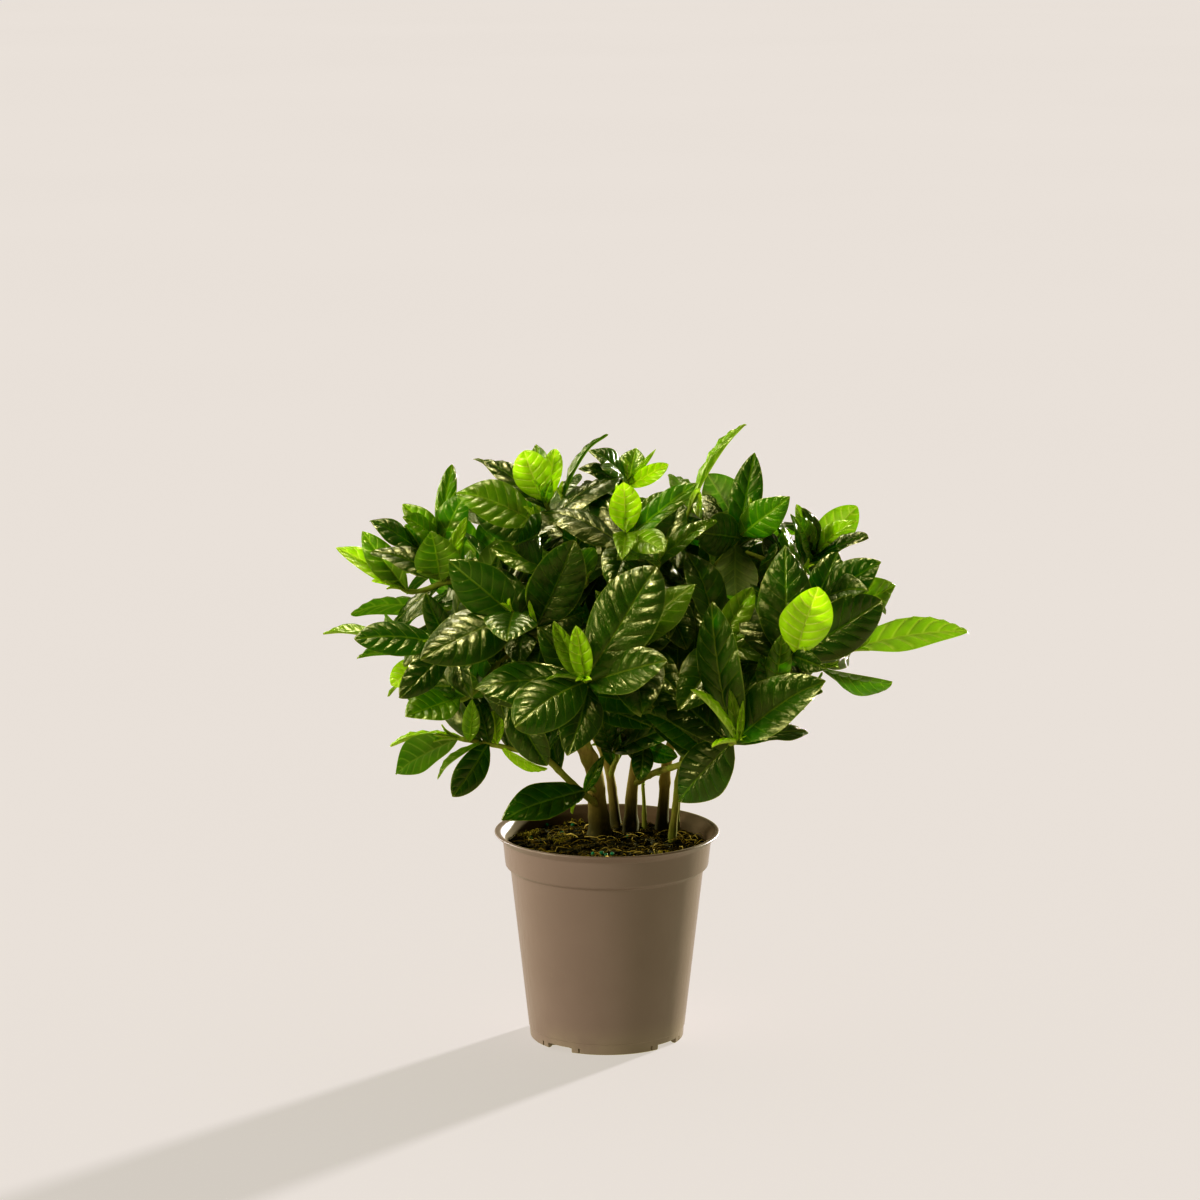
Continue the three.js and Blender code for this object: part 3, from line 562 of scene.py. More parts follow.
class Skin:
    """The patches of one piece, each with its places, its faces, a material and its corners on a map"""

    def __init__(self):
        self.places, self.faces, self.kinds, self.maps = [], [], [], []
        self.marks = {"blade": [], "tone": []}
        self.count = 0

    def add(self, places, patches, blade, tone):
        """patches are (material, faces, places on the map) over the same places"""
        for kind, faces, on_map in patches:
            self.faces += [[i + self.count for i in face] for face in faces]
            self.kinds += [kind] * len(faces)
            self.maps.append([on_map[i] for face in faces for i in face])
        self.places.append(places)
        self.marks["blade"].append(np.broadcast_to(blade, places.shape))
        self.marks["tone"].append(np.broadcast_to(tone, places.shape))
        self.count += len(places)

    def piece(self, name, materials, slot, nodes, sharp):
        mesh = mesh_of(name, np.concatenate(self.places), self.faces)
        for material in materials:
            mesh.materials.append(material)
        mesh.polygons.foreach_set("material_index", self.kinds)
        for mark, values in self.marks.items():
            layer = mesh.attributes.new(mark, "FLOAT_VECTOR", "POINT")
            layer.data.foreach_set("vector", np.concatenate(values).astype(np.float32).ravel())
        layer = mesh.uv_layers.new(name="OFBake")
        layer.data.foreach_set("uv", np.concatenate(list(self.tiled())).astype(np.float32).ravel())
        mesh.set_sharp_from_angle(angle=math.radians(sharp))
        mesh.validate()
        finished(placed(name, mesh), nodes)

    def tiled(self):
        """Each patch's map in a tile of its own, twice as high as wide"""
        across = math.ceil(math.sqrt(2 * len(self.maps)))
        down = math.ceil(len(self.maps) / across)
        margin = 0.04
        for i, corners in enumerate(self.maps):
            tile = np.array([i % across, i // across])
            yield (tile + margin + (1 - 2 * margin) * np.array(corners)) / (across, down)


# Angles in degrees from which an edge stays sharp
SHARP = {"pot": 35, "leaf": 50, "stem": 70, "litter": 80}
PIECES = []


def finished(piece, nodes):
    """Lets a piece ride with the body and stand for its nodes"""
    PIECES.append(piece)
    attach(piece, BODY)
    if nodes:
        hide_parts(*nodes)


@functools.cache
def tube_net(rings, sides):
    """Faces of a closed tube over rings of points, with a point at each end, and its corners' map"""
    faces = []
    last = rings * sides + 1
    for k in range(sides):
        n = (k + 1) % sides
        faces.append((0, 1 + n, 1 + k))
        faces.append((last, last - sides + k, last - sides + n))
        for i in range(rings - 1):
            a = 1 + i * sides
            faces.append((a + k, a + n, a + sides + n, a + sides + k))
    on_map = [(0.5, 0)]
    on_map += [(0.5 - 0.5 * math.cos(2 * math.pi * k / sides), (i + 0.5) / rings)
               for i in range(rings) for k in range(sides)]
    return faces, on_map + [(0.5, 1)]


def tube(path, radii, sides, blunt=0.0):
    """Places of a tube along a path. Its ends stand out by blunt times their radius."""
    path = np.array(path)
    ways = np.gradient(path, axis=0)
    ways /= np.linalg.norm(ways, axis=1)[:, None]
    side = np.array([0.31, -0.95, 0.07])
    angles = 2 * math.pi * np.arange(sides) / sides
    places = [path[0] - ways[0] * blunt * radii[0]]
    for centre, way, radius in zip(path, ways, radii):
        side = unit(side - way * side.dot(way))
        across = np.cross(way, side)
        ring = np.outer(np.cos(angles), side) + np.outer(np.sin(angles), across)
        places += list(centre + ring * radius)
    places.append(path[-1] + ways[-1] * blunt * radii[-1])
    return np.array(places)


# Leaf blades

# The form of a blade. A pair that goes "old to young" is blended by the leaf's youth.
LEAF = {
    "small": 9,  # width below which a leaf has few veins
    "veins": (4, 6, 8),  # pairs of side veins: in a small leaf, and the fewest and the most in others
    "slant": 0.19,  # how far a side vein runs forward, as a share of the leaf's length
    "quilt": (0.2, 0.3),  # old to young, its height between two veins, as a share of the way between them
    "quilts": (0.6, 1.25),  # range of a factor on that, from leaf to leaf
    "frill": (0.012, 0.0036),  # old to young, height of the waves in its edge, as a share of its length
    "frills": (8, 15),  # range of how close together they are, in radians along the leaf
    "spread": ((-0.42, 0.4), (0, 0.3)),  # old to young, range of the rise of its halves, in radians
    "wide": (12, 26),  # widths between which its fold gives way to that rise
    "blunt": ((0.02, 0.32), (-0.16, 0.06)),  # old to young, range of how much blunter it is than the model's
    "lime": (0.7, 0.95),  # youths between which its tip gets as sharp as a young leaf's
    "arch": (0.16, 0.12),  # old to young, bulge of each half, as a share of its width
    "warp": 0.04,  # most uneven rise of its halves, as a share of its width
    "twist": 0.22,  # most twist from its foot to its tip, in radians
    "curl": (-0.012, 0.075),  # range of the fall of its tip, as a share of its length
    "curl_from": 0.62,  # where along the leaf that starts
    "sway": 0.03,  # most bend to a side, as a share of its length
    "blade": 0.42,  # thickness
    "petiole": 0.85,  # half the stalk's width
    "stalk": (0.02, 0.2),  # where along the leaf the stalk turns into the blade
    "sunk": 0.6,  # how deep the stalk stands in the shoot
    "midrib": 0.8,  # half its width
    "groove": 0.3,  # its depth above
    "rib": 0.55,  # how far it stands out below
}
VEIN_BEATS = (0, 0.13, 0.5, 0.87)  # where a blade has rows between two veins
# Where each half of a blade has columns
ACROSS = {
    "listed": (0.045, 0.2, 0.4, 0.6, 0.8, 1.0),
    "hidden": (0.07, 0.35, 0.68, 1.0),
    "small": (0.12, 0.55, 1.0),
}


@functools.cache
def blade_net(rows, columns):
    """Faces of the upper and the under side of a blade. Both share the corners of its edge and its tip."""
    top = lambda i, j: i * columns + j if i < rows else rows * columns
    inner = columns - 2

    def under(i, j):
        if i == rows or j in (0, columns - 1):
            return top(i, j)
        return rows * columns + 1 + i * inner + j - 1

    upper, lower = [], []
    for i in range(rows):
        for j in range(columns - 1):
            upper.append([top(i, j), top(i, j + 1), top(i + 1, j + 1), top(i + 1, j)])
            lower.append([under(i, j), under(i + 1, j), under(i + 1, j + 1), under(i, j + 1)])
    whole = lambda faces: [[v for n, v in enumerate(f) if v not in f[:n]] for f in faces]
    foot = [top(0, j) for j in range(columns - 1, -1, -1)] + [under(0, j) for j in range(1, columns - 1)]
    return whole(upper), whole(lower) + [foot]


def on_both_sides(above, below, rows):
    """Places for blade_net: rows of the upper side, the tip, then the inner places of the under side"""
    return np.concatenate([above[:rows].reshape(-1, 3), above[rows, :1], below[:rows, 1:-1].reshape(-1, 3)])


def outline(s, tip=OUTLINE["tip"]):
    """Half the width of a leaf at a share s of its length, as a share of its greatest half width"""
    foot = OUTLINE["foot"]
    widest = foot / (foot + tip)
    s = np.clip(s, 0, 1)
    return (s / widest) ** foot * ((1 - s) / (1 - widest)) ** tip


def leaf_grid(leaf):
    """How a blade is divided: its veins, its rows and columns, and its places across and along, 0 to 1"""
    few, least, most = LEAF["veins"]
    small = leaf["width"] < LEAF["small"]
    veins = few if small else max(least, round(most * min(1, 0.45 + leaf["width"] / 60)))
    beats = VEIN_BEATS if leaf["listed"] else VEIN_BEATS[::2] + VEIN_BEATS[3:]
    half_columns = ACROSS["small" if small else "listed" if leaf["listed"] else "hidden"]
    u = np.array([-x for x in reversed(half_columns)] + [0] + list(half_columns))[None, :]
    t = np.array([(i + beat) / veins for i in range(veins) for beat in beats] + [1.0])[:, None]
    return veins, veins * len(beats), 2 * len(half_columns) + 1, u, t


def leaf_patch(skin, leaf, chance):
    """Adds a leaf to a skin: its blade with the side veins pressed in, its midrib and its short stalk"""
    long, along, up, right = directions(leaf)
    width, youth = leaf["width"], leaf["youth"]
    veins, rows, columns, u, t = leaf_grid(leaf)
    side = np.abs(u)
    s = t + LEAF["slant"] * side * 4 * t * (1 - t)
    phase = veins * t + 0 * u

    # Its outline
    blunt_old, blunt_young = [chance.uniform(*reach) for reach in LEAF["blunt"]]
    blunt = mix(blunt_old, blunt_young, smooth(*LEAF["lime"], youth))
    petiole = LEAF["petiole"] * np.clip(1 - s / 0.35, 0, 1) ** 0.5
    half = np.hypot(width / 2 * outline(s, OUTLINE["tip"] + blunt), petiole)
    away = half * side

    # The lift of its halves, its waves and the quilting between its veins
    fold, bow, wave = mix(*FOLD, youth), mix(*BOW, youth) * long, mix(*WAVE, youth) * long
    spread_old, spread_young = [chance.uniform(*reach) for reach in LEAF["spread"]]
    hang = mix(fold, mix(spread_old, spread_young, youth), smooth(*LEAF["wide"], width))
    quilt = chance.uniform(*LEAF["quilts"]) * mix(*LEAF["quilt"], youth) * long / veins
    quilt = quilt * np.abs(np.sin(np.pi * phase)) ** 0.8
    quilt = quilt * side**0.4 * (1 - side**6) * outline(s) ** 0.5
    frill = mix(*LEAF["frill"], youth) * long * side**3
    frill = frill * np.sin(chance.uniform(*LEAF["frills"]) * s + 2 * leaf["turn"] + 1.9 * np.sign(u))
    wave = wave * np.sin(9 * s + leaf["turn"] + np.sign(u)) * side**2
    warp = chance.uniform(-LEAF["warp"], LEAF["warp"]) * width * np.sin(5 * s + 2 * u) * side
    arch = mix(*LEAF["arch"], youth) * half * side * (1 - side) * 2
    lift = away * math.sin(hang) + wave + frill + arch + quilt + warp
    aside = u * half * math.cos(fold)

    # Its twist, its bow, the curl of its tip and its bend to a side
    spin = chance.uniform(-LEAF["twist"], LEAF["twist"]) * s
    curl = chance.uniform(*LEAF["curl"]) * long * smooth(LEAF["curl_from"], 1.0, s) ** 2
    sway = chance.uniform(-LEAF["sway"], LEAF["sway"]) * long * np.sin(np.pi * s)
    aside, lift = aside * np.cos(spin) - lift * np.sin(spin), lift * np.cos(spin) + aside * np.sin(spin)
    lift = lift + 4 * bow * s * (1 - s) - curl
    aside = aside + sway

    # Its thickness, with a round stalk and a midrib
    stalk = 1 - smooth(*LEAF["stalk"], s)
    round_ = 2 * LEAF["petiole"] * np.sqrt(np.clip(1 - side**2, 0, 1))
    thick = mix(LEAF["blade"] * (1 - side**8), round_, stalk)
    midrib = np.exp(-((away / LEAF["midrib"]) ** 2)) * (1 - 0.6 * s) * (1 - stalk)
    above = thick / 2 - LEAF["groove"] * midrib
    below = -thick / 2 - LEAF["rib"] * midrib * (side < 1)
    start = leaf["base"] - along * LEAF["sunk"]
    places = start + along * (s * (long + LEAF["sunk"]))[..., None] + right * aside[..., None]
    upper, lower = [places + up * (lift + face)[..., None] for face in (above, below)]

    # Its marks for the materials
    mark = np.stack([u + 0 * s, phase, away], axis=-1)
    tone = np.stack([youth + 0 * s, chance.random() + 0 * s, s], axis=-1)
    sheet = np.stack([0.5 + 0.5 * u + 0 * s, t + 0 * u, 0 * s], axis=-1)
    on_map = on_both_sides(sheet, sheet, rows)[:, :2].tolist()
    patches = [(kind, faces, on_map) for kind, faces in enumerate(blade_net(rows, columns))]
    marks = [on_both_sides(values, values, rows) for values in (mark, tone)]
    skin.add(on_both_sides(upper, lower, rows), patches, *marks)


# Leaves that have just opened at a shoot's end. Those after the first two lean out more and are longer.
BUD_LEAF = {
    "counts": (2, 2, 3, 4),
    "lean": (0.12, 0.4), "more_lean": 0.12,
    "long": (8, 15), "longer": 4,
    "slim": (0.24, 0.34),
    "youth": (0.75, 1),
    "sunk": 0.8,
}


def bud_leaves(shoot, chance):
    end, axis = shoot["end"], shoot["way"]
    sides = sides_of(axis)
    spin = chance.uniform(0, ALL_ROUND)
    leaves = []
    for j in range(chance.choice(BUD_LEAF["counts"])):
        turn = spin + j * math.pi * (1 if j < 2 else 1.5)
        lean = chance.uniform(*BUD_LEAF["lean"]) + BUD_LEAF["more_lean"] * (j > 1)
        out = leaned(axis, sides, turn, math.pi / 2)
        way = leaned(axis, sides, turn, lean)
        long = chance.uniform(*BUD_LEAF["long"]) + BUD_LEAF["longer"] * (j > 1)
        leaves.append({
            "base": end - axis * BUD_LEAF["sunk"], "tip": end + way * long,
            "width": long * chance.uniform(*BUD_LEAF["slim"]), "look": axis - out * 0.4,
            "youth": chance.uniform(*BUD_LEAF["youth"]), "turn": 9 * chance.random(), "listed": False,
        })
    return leaves


# Stems in detail

# The swellings at a stem's nodes: how much, how far along it, and the way from one to the next
NODES = {"swell": (0.1, 0.22), "reach": 1.5, "first": (2, 12), "thin": (11, 19), "thick": (13, 24)}
THICK_STEM = 3
FLARE = {"swell": 0.45, "height": 9}
# How green the bark is from a stem's foot to its end, and the radius up to which a stem is a twig
GREEN = {"stem": (0.12, 0.75), "twig": (0.55, 0.75), "shoot": (0.45, 0.95)}
GREEN_TWIG = 2.5
# A stem's sides by its radius at its foot
STEM_SIDES = [(1.95, 8), (3, 10), (math.inf, 14)]


def stem_radii(path, radius, chance, buried):
    """The radii along a stem: tapered, swollen at its nodes and, in a rooted stem, at the ground"""
    count = len(path)
    gone = np.concatenate([[0], np.cumsum([np.linalg.norm(b - a) for a, b in zip(path, path[1:])])])
    share = np.linspace(0, 1, count)
    radii = mix(radius[0], radius[1], share)
    node = chance.uniform(*NODES["first"])
    while node < gone[-1]:
        swell = chance.uniform(*NODES["swell"])
        radii = radii * (1 + swell * np.exp(-(((gone - node) / NODES["reach"]) ** 2)))
        node += chance.uniform(*NODES["thin" if radius[0] < THICK_STEM else "thick"])
    if buried:
        height = np.clip(np.array([p[2] for p in path]) - SOIL["edge"], 0, None)
        radii = radii * (1 + FLARE["swell"] * np.exp(-height / FLARE["height"]))
    return radii


def add_stem(skin, path, radius, green, chance, buried=False):
    radii = stem_radii(path, radius, chance, buried)
    sides = next(count for most, count in STEM_SIDES if radius[0] <= most)
    places = tube(path, radii, sides, blunt=0.3)
    angle = 2 * np.pi * np.arange(sides) / sides
    rough = 1 + 0.05 * np.sin(3 * angle[None, :] + 0.8 * np.arange(len(path))[:, None] + chance.random() * 6)
    rings = places[1:-1].reshape(len(path), sides, 3)
    centres = np.array(path)[:, None, :]
    places[1:-1] = (centres + (rings - centres) * rough[..., None]).reshape(-1, 3)
    faces, on_map = tube_net(len(path), sides)
    share = np.repeat(np.linspace(0, 1, len(path)), sides)
    share = np.concatenate([[0], share, [1]])
    tone = np.stack([mix(*green, share), 0 * share + chance.random(), share], axis=-1)
    skin.add(places, [(0, faces, on_map)], np.zeros(3), tone)


def add_bud(skin, end, axis, radius):
    """A pointed green bud"""
    shares = np.linspace(0, 1, 7)
    path = [end + axis * (BUD * radius * s - 0.4) for s in shares]
    radii = [radius * (1.12 - 0.25 * s) * math.sqrt(max(0.02, 1 - s**2.2)) for s in shares]
    faces, on_map = tube_net(len(path), 8)
    skin.add(tube(path, radii, 8), [(0, faces, on_map)], np.zeros(3), np.array([1.0, 0.5, 1.0]))


# Materials

class Look:
    """The node tree of a material or a world, and short ways to add nodes to it"""

    def __init__(self, owner, output="OutputMaterial"):
        owner.use_nodes = True
        self.owner = owner
        self.tree = owner.node_tree
        self.tree.nodes.clear()
        self.out = self.node(output)
        self.coords = self.node("TexCoord").outputs["Object"]

    def node(self, kind, values=(), **settings):
        made = self.tree.nodes.new("ShaderNode" + kind)
        for key, value in settings.items():
            setattr(made, key, value)
        for key, value in dict(values).items():
            if isinstance(value, bpy.types.NodeSocket):
                self.tree.links.new(value, made.inputs[key])
            else:
                made.inputs[key].default_value = value
        return made

    def parts(self, vector):
        return self.node("SeparateXYZ", {0: vector}).outputs

    def mark(self, name):
        """The three numbers that a mesh has at its corners under a name"""
        return self.parts(self.node("Attribute", attribute_name=name).outputs["Vector"])

    def math(self, operation, a, b=0.0, clamp=False):
        return self.node("Math", {0: a, 1: b}, operation=operation, use_clamp=clamp).outputs[0]

    def plus(self, a, b, clamp=False):
        return self.math("ADD", a, b, clamp)

    def times(self, a, b):
        return self.math("MULTIPLY", a, b)

    def most(self, a, b):
        return self.math("MAXIMUM", a, b)

    def around(self, value, reach):
        """A value from 0 to 1 as one from -reach / 2 to reach / 2"""
        return self.times(self.math("SUBTRACT", value, 0.5), reach)

    def ramp(self, value, low, high, to_low=0.0, to_high=1.0):
        """value from low to high as an even curve from to_low to to_high"""
        values = {"Value": value, 1: low, 2: high, 3: to_low, 4: to_high}
        return self.node("MapRange", values, interpolation_type="SMOOTHSTEP").outputs[0]

    def colours(self, value, stops):
        made = self.node("ValToRGB", {0: value})
        elements = made.color_ramp.elements
        while len(elements) < len(stops):
            elements.new(0.5)
        for element, (place, colour) in zip(elements, stops):
            element.position = place
            element.color = (*colour, 1)
        return made.outputs[0]

    def blend(self, share, a, b):
        """Colour a where share is 0 and b where it is 1"""
        values = {6: a, 7: b}
        values = {key: (*v, 1) if isinstance(v, tuple) else v for key, v in values.items()}
        return self.node("Mix", {0: share, **values}, data_type="RGBA").outputs[2]

    def noise(self, scale, detail, rough=0.55, stretch=None):
        coords = self.coords
        if stretch:
            coords = self.node("Mapping", {"Vector": coords, "Scale": stretch}).outputs[0]
        values = {"Vector": coords, "Scale": scale, "Detail": detail, "Roughness": rough}
        return self.node("TexNoise", values).outputs[0]

    def bump(self, height, strength, distance):
        values = {"Height": height, "Strength": strength, "Distance": distance}
        return self.node("Bump", values).outputs[0]

    def shader(self, **values):
        named = {key.replace("_", " "): value for key, value in values.items()}
        return self.node("BsdfPrincipled", named).outputs[0]

    def done(self, shader):
        self.tree.links.new(shader, self.out.inputs["Surface"])
        return self.owner


def material_look(name):
    return Look(bpy.data.materials.new(name))


# A leaf's two faces: how wide its side veins are, how much of them and of the midrib shows when it is old,
# its gloss, and the colours of the blade and of its veins from old to young
FACES = {
    "upper": {
        "vein": 0.075, "old_veins": 0.25, "ribs": 0.6,
        "rough": (0.095, 0.18), "specular": 0.6, "tint": (1.0, 0.95, 0.46, 1.0),
        "blade": [(0.0, (0.0058, 0.028, 0.001)), (0.3, (0.021, 0.088, 0.0015)),
                  (0.6, (0.15, 0.275, 0.004)), (1.0, (0.53, 0.98, 0.007))],
        "veins": [(0.0, (0.075, 0.13, 0.006)), (0.5, (0.38, 0.52, 0.07)), (1.0, (0.85, 1.0, 0.25))],
    },
    "under": {
        "vein": 0.13, "old_veins": 0.6, "ribs": 0.75,
        "rough": (0.5, 0.62), "specular": 0.22, "tint": (1.0, 0.95, 0.5, 1.0),
        "blade": [(0.0, (0.045, 0.1, 0.01)), (0.35, (0.11, 0.2, 0.018)),
                  (0.75, (0.28, 0.4, 0.04)), (1.0, (0.4, 0.54, 0.06))],
        "veins": [(0.0, (0.11, 0.17, 0.03)), (0.5, (0.36, 0.47, 0.11)), (1.0, (0.5, 0.64, 0.16))],
    },
}
# The light that comes through a blade and through its veins, from old to young
LIGHT_THROUGH = [(0.0, (0.023, 0.145, 0.001)), (0.3, (0.095, 0.37, 0.001)),
                 (0.6, (0.4, 0.67, 0.003)), (1.0, (0.75, 1.0, 0.004))]
LIGHT_VEINS = [(0.0, (0.2, 0.38, 0.02)), (0.45, (0.62, 0.84, 0.1)), (1.0, (1.0, 1.0, 0.32))]
# A painted highlight along a leaf's edge, for the light that a rounded margin catches, and the tint of its
# tip
LEAF_EDGE_HIGHLIGHT = (0.3, 0.4, 0.06)
LEAF_TIP = (0.22, 0.2, 0.04)


def leaf_look(name):
    """A leaf's upper face is glossy and deep green, its under face matte and paler. Young leaves are lime."""
    face = FACES[name]
    look = material_look("leaf_" + name)
    across, phase, away = look.mark("blade")
    youth, chance, share = look.mark("tone")
    side = look.math("ABSOLUTE", across)
    reach = look.plus(face["vein"], look.times(youth, 0.07))
    vein = look.ramp(look.math("PINGPONG", phase, 0.5), 0.015, reach, 1.0, 0.0)
    vein = look.times(vein, look.ramp(side, 0.75, 1.0, 1.0, 0.0))
    midrib = look.ramp(away, 0.25, 0.85, 1.0, 0.0)
    lit_ribs = look.most(look.times(vein, look.ramp(youth, 0.05, 0.7, 0.7, 1.0)), midrib)
    ribs = look.most(look.times(vein, look.ramp(youth, 0.1, 0.7, face["old_veins"], 1.0)), midrib)
    cells = look.node("TexVoronoi", {"Vector": look.coords, "Scale": 700.0}, feature="DISTANCE_TO_EDGE")
    net = look.ramp(cells.outputs["Distance"], 0.0, 0.12, 1.0, 0.0)
    age = look.plus(youth, look.around(look.noise(90, 4), 0.35))
    age = look.plus(age, look.around(chance, 0.12), clamp=True)
    veins = look.colours(youth, face["veins"])
    colour = look.blend(look.ramp(ribs, 0.0, 1.0, 0.0, face["ribs"]), look.colours(age, face["blade"]), veins)
    colour = look.blend(look.times(net, 0.07), colour, veins)
    # Painted highlight: the blade turns pale at its edge
    colour = look.blend(look.ramp(side, 0.95, 1.0, 0.0, 0.6), colour, LEAF_EDGE_HIGHLIGHT)
    colour = look.blend(look.ramp(share, 0.93, 1.0, 0.0, 0.3), colour, LEAF_TIP)
    light = look.colours(age, LIGHT_THROUGH)
    light = look.blend(look.times(lit_ribs, 0.75), light, look.colours(youth, LIGHT_VEINS))
    height = look.plus(look.times(net, -0.25), look.times(lit_ribs, -0.6))
    grain = look.times(look.noise(330, 4, 0.6), look.ramp(youth, 0.3, 0.7, 1.0, 0.35))
    normal = look.bump(look.plus(height, grain), 0.7, 0.0003)
    body = look.shader(
        Base_Color=colour, Roughness=look.ramp(look.noise(160, 3), 0.3, 0.7, *face["rough"]), Normal=normal,
        Specular_IOR_Level=face["specular"], Specular_Tint=face["tint"])
    through = look.node("BsdfTranslucent", {"Color": light, "Normal": normal}).outputs[0]
    portion = look.ramp(youth, 0.6, 1.0, 0.46, 0.53)
    return look.done(look.node("MixShader", {0: portion, 1: body, 2: through}).outputs[0])


# Bark from old wood to green shoots, the dark of its furrows, and the near-black that it turns to in patches
# at its foot, near the compost
BARK = [(0.0, (0.21, 0.14, 0.045)), (0.3, (0.34, 0.24, 0.075)), (0.6, (0.22, 0.24, 0.035)),
        (1.0, (0.22, 0.36, 0.03))]
BARK_FURROW = (0.075, 0.06, 0.016)
BARK_FOOT_DARK = (0.018, 0.014, 0.004)


def bark_look():
    """Olive brown bark on the old wood, smooth green on the shoots"""
    look = material_look("bark")
    green = look.mark("tone")[0]
    streaks = look.noise(260, 5, 0.65, stretch=(1.0, 1.0, 0.22))
    patches = look.noise(120, 3)
    colour = look.colours(look.plus(green, look.around(patches, 0.7)), BARK)
    colour = look.blend(look.ramp(streaks, 0.35, 0.7, 0.5, 0.0), colour, BARK_FURROW)
    # Darker towards the compost: in patches the bark low on a stem turns near-black, less so on green stems
    low = look.ramp(look.parts(look.coords)[2], 0.118, 0.16, 1.0, 0.0)
    foot_dark = look.times(low, look.ramp(patches, 0.25, 0.5, 0.8, 1.0))
    foot_dark = look.times(foot_dark, look.ramp(green, 0.25, 0.45, 1.0, 0.35))
    colour = look.blend(foot_dark, colour, BARK_FOOT_DARK)
    return look.done(look.shader(
        Base_Color=colour, Roughness=look.ramp(streaks, 0.3, 0.7, 0.8, 0.6),
        Normal=look.bump(streaks, 0.5, 0.0006), Specular_IOR_Level=0.1))


# The pot's plastic where it is darkest and palest, its scuffs, the painted shade on its inner wall and the
# dust at its foot
PLASTIC = ((0.158, 0.103, 0.113), (0.177, 0.117, 0.128))
SCUFF = (0.36, 0.28, 0.22)
INSIDE_PAINTED_SHADE = (0.05, 0.022, 0.016)
DUST = (0.33, 0.27, 0.2)


def pot_look():
    """Moulded taupe plastic with a satin skin, fine scuffs, a little dust at the foot and painted shade on
    the inner wall
    """
    look = material_look("pot_plastic")
    x, y, height = look.parts(look.coords)
    facing = look.parts(look.node("TexCoord").outputs["Normal"])
    cloud = look.noise(14, 4)
    scuffs = look.noise(420, 5, 0.7, stretch=(1.0, 1.0, 0.12))
    colour = look.blend(look.ramp(cloud, 0.3, 0.7), *PLASTIC)
    colour = look.blend(look.ramp(scuffs, 0.62, 0.8, 0.0, 0.18), colour, SCUFF)
    # Painted shade on the inner wall below the lip. It reaches higher at the back and the right, so that only
    # a crescent at the left stays pale. The same mask makes that wall rougher.
    outwards = look.plus(look.times(x, facing[0]), look.times(y, facing[1]))
    rise = look.ramp(look.plus(x, y), -0.045, 0.0, 0.0, 0.0052)
    level = look.ramp(look.math("SUBTRACT", height, rise), 0.1168, 0.1196, 1.0, 0.0)
    painted_shade = look.times(look.ramp(outwards, -0.02, 0.0, 0.92, 0.0), level)
    colour = look.blend(painted_shade, colour, INSIDE_PAINTED_SHADE)
    dust = look.times(look.ramp(height, 0.0, 0.02, 0.3, 0.0), look.ramp(cloud, 0.4, 0.6))
    colour = look.blend(dust, colour, DUST)
    roughness = look.most(look.ramp(scuffs, 0.3, 0.75, 0.32, 0.46), painted_shade)
    relief = look.plus(look.noise(2600, 2), look.times(look.noise(35, 2), 6.0))
    return look.done(look.shader(
        Base_Color=colour, Roughness=roughness, Normal=look.bump(relief, 0.12, 0.0003),
        Specular_IOR_Level=0.45))


# What lies in the pot: how rough it is, and its colours from dark to pale
EARTH = {
    "compost": (0.9, [(0.25, (0.002, 0.0015, 0.0004)), (0.5, (0.0065, 0.0046, 0.001)),
                      (0.62, (0.02, 0.013, 0.0025)), (0.8, (0.09, 0.055, 0.009))]),
    "peat_crumbs": (0.9, [(0.2, (0.0025, 0.0017, 0.0004)), (0.5, (0.0095, 0.0062, 0.0013)),
                          (0.7, (0.04, 0.024, 0.004)), (0.95, (0.17, 0.1, 0.016))]),
    "peat_fibres": (0.8, [(0.2, (0.016, 0.01, 0.002)), (0.5, (0.07, 0.045, 0.006)),
                          (0.72, (0.24, 0.155, 0.018)), (1.0, (0.6, 0.42, 0.07))]),
    "moss_green": (0.85, [(0.2, (0.025, 0.022, 0.002)), (0.5, (0.12, 0.095, 0.009)),
                          (0.9, (0.36, 0.27, 0.03))]),
    "feed_green": (0.42, [(0.2, (0.002, 0.06, 0.035)), (0.8, (0.006, 0.17, 0.095))]),
    "dry_straw": (0.7, [(0.2, (0.2, 0.13, 0.03)), (0.8, (0.72, 0.52, 0.16))]),
}


def soil_look(name):
    """Moist peat, or what lies on it, with a grain of pale and dark"""
    rough, stops = EARTH[name]
    look = material_look(name)
    shift = look.around(look.mark("tone")[1], 0.5)
    colour = look.colours(look.plus(look.noise(300, 5, 0.65), shift), stops)
    normal = look.bump(look.noise(900, 4, 0.7), 0.7, 0.0008)
    return look.done(look.shader(Base_Color=colour, Roughness=rough, Normal=normal, Specular_IOR_Level=0.05))


# The pot

def outside():
    """The outline of the pot's outside from its middle to its lip, as radii and heights"""
    p = POT
    top = p["height"]
    foot = top - p["band_height"]
    return [
        (p["middle"], 0), (p["middle"] + 3, p["channel"]), (p["base"] - 5.8, p["channel"]),
        (p["base"] - 3.4, 0), (p["base"] - 0.8, 0), (p["base"] - 0.4, p["foot_height"] - 0.3),
        (p["base"], p["foot_height"]), (p["shoulder"], foot - 1.4), (p["band_foot"], foot + 0.4),
        (p["band"], top - 5), (p["rim"] - 1, top - 1.8), (p["rim"], top - 0.8), (p["rim"] - 0.8, top),
    ]


def inside(gap=0.0):
    """The outline of its inside, or of what fills it with a gap, from its middle to its lip"""
    p = POT
    foot = p["height"] - p["band_height"]
    wall = p["wall"] + gap
    return [
        (p["middle"] + 0.6 - gap, wall), (p["middle"] + 3.6 - gap, p["channel"] + wall),
        (p["base"] - 4.6 - gap, p["channel"] + wall), (p["base"] - wall, p["channel"] + 4.4),
        (p["shoulder"] - wall, foot), (p["band_foot"] - wall, foot + 2.2),
        (p["band"] - wall, p["height"] - 4.6), (p["rim"] - 3.4, p["height"] - 0.6),
    ]


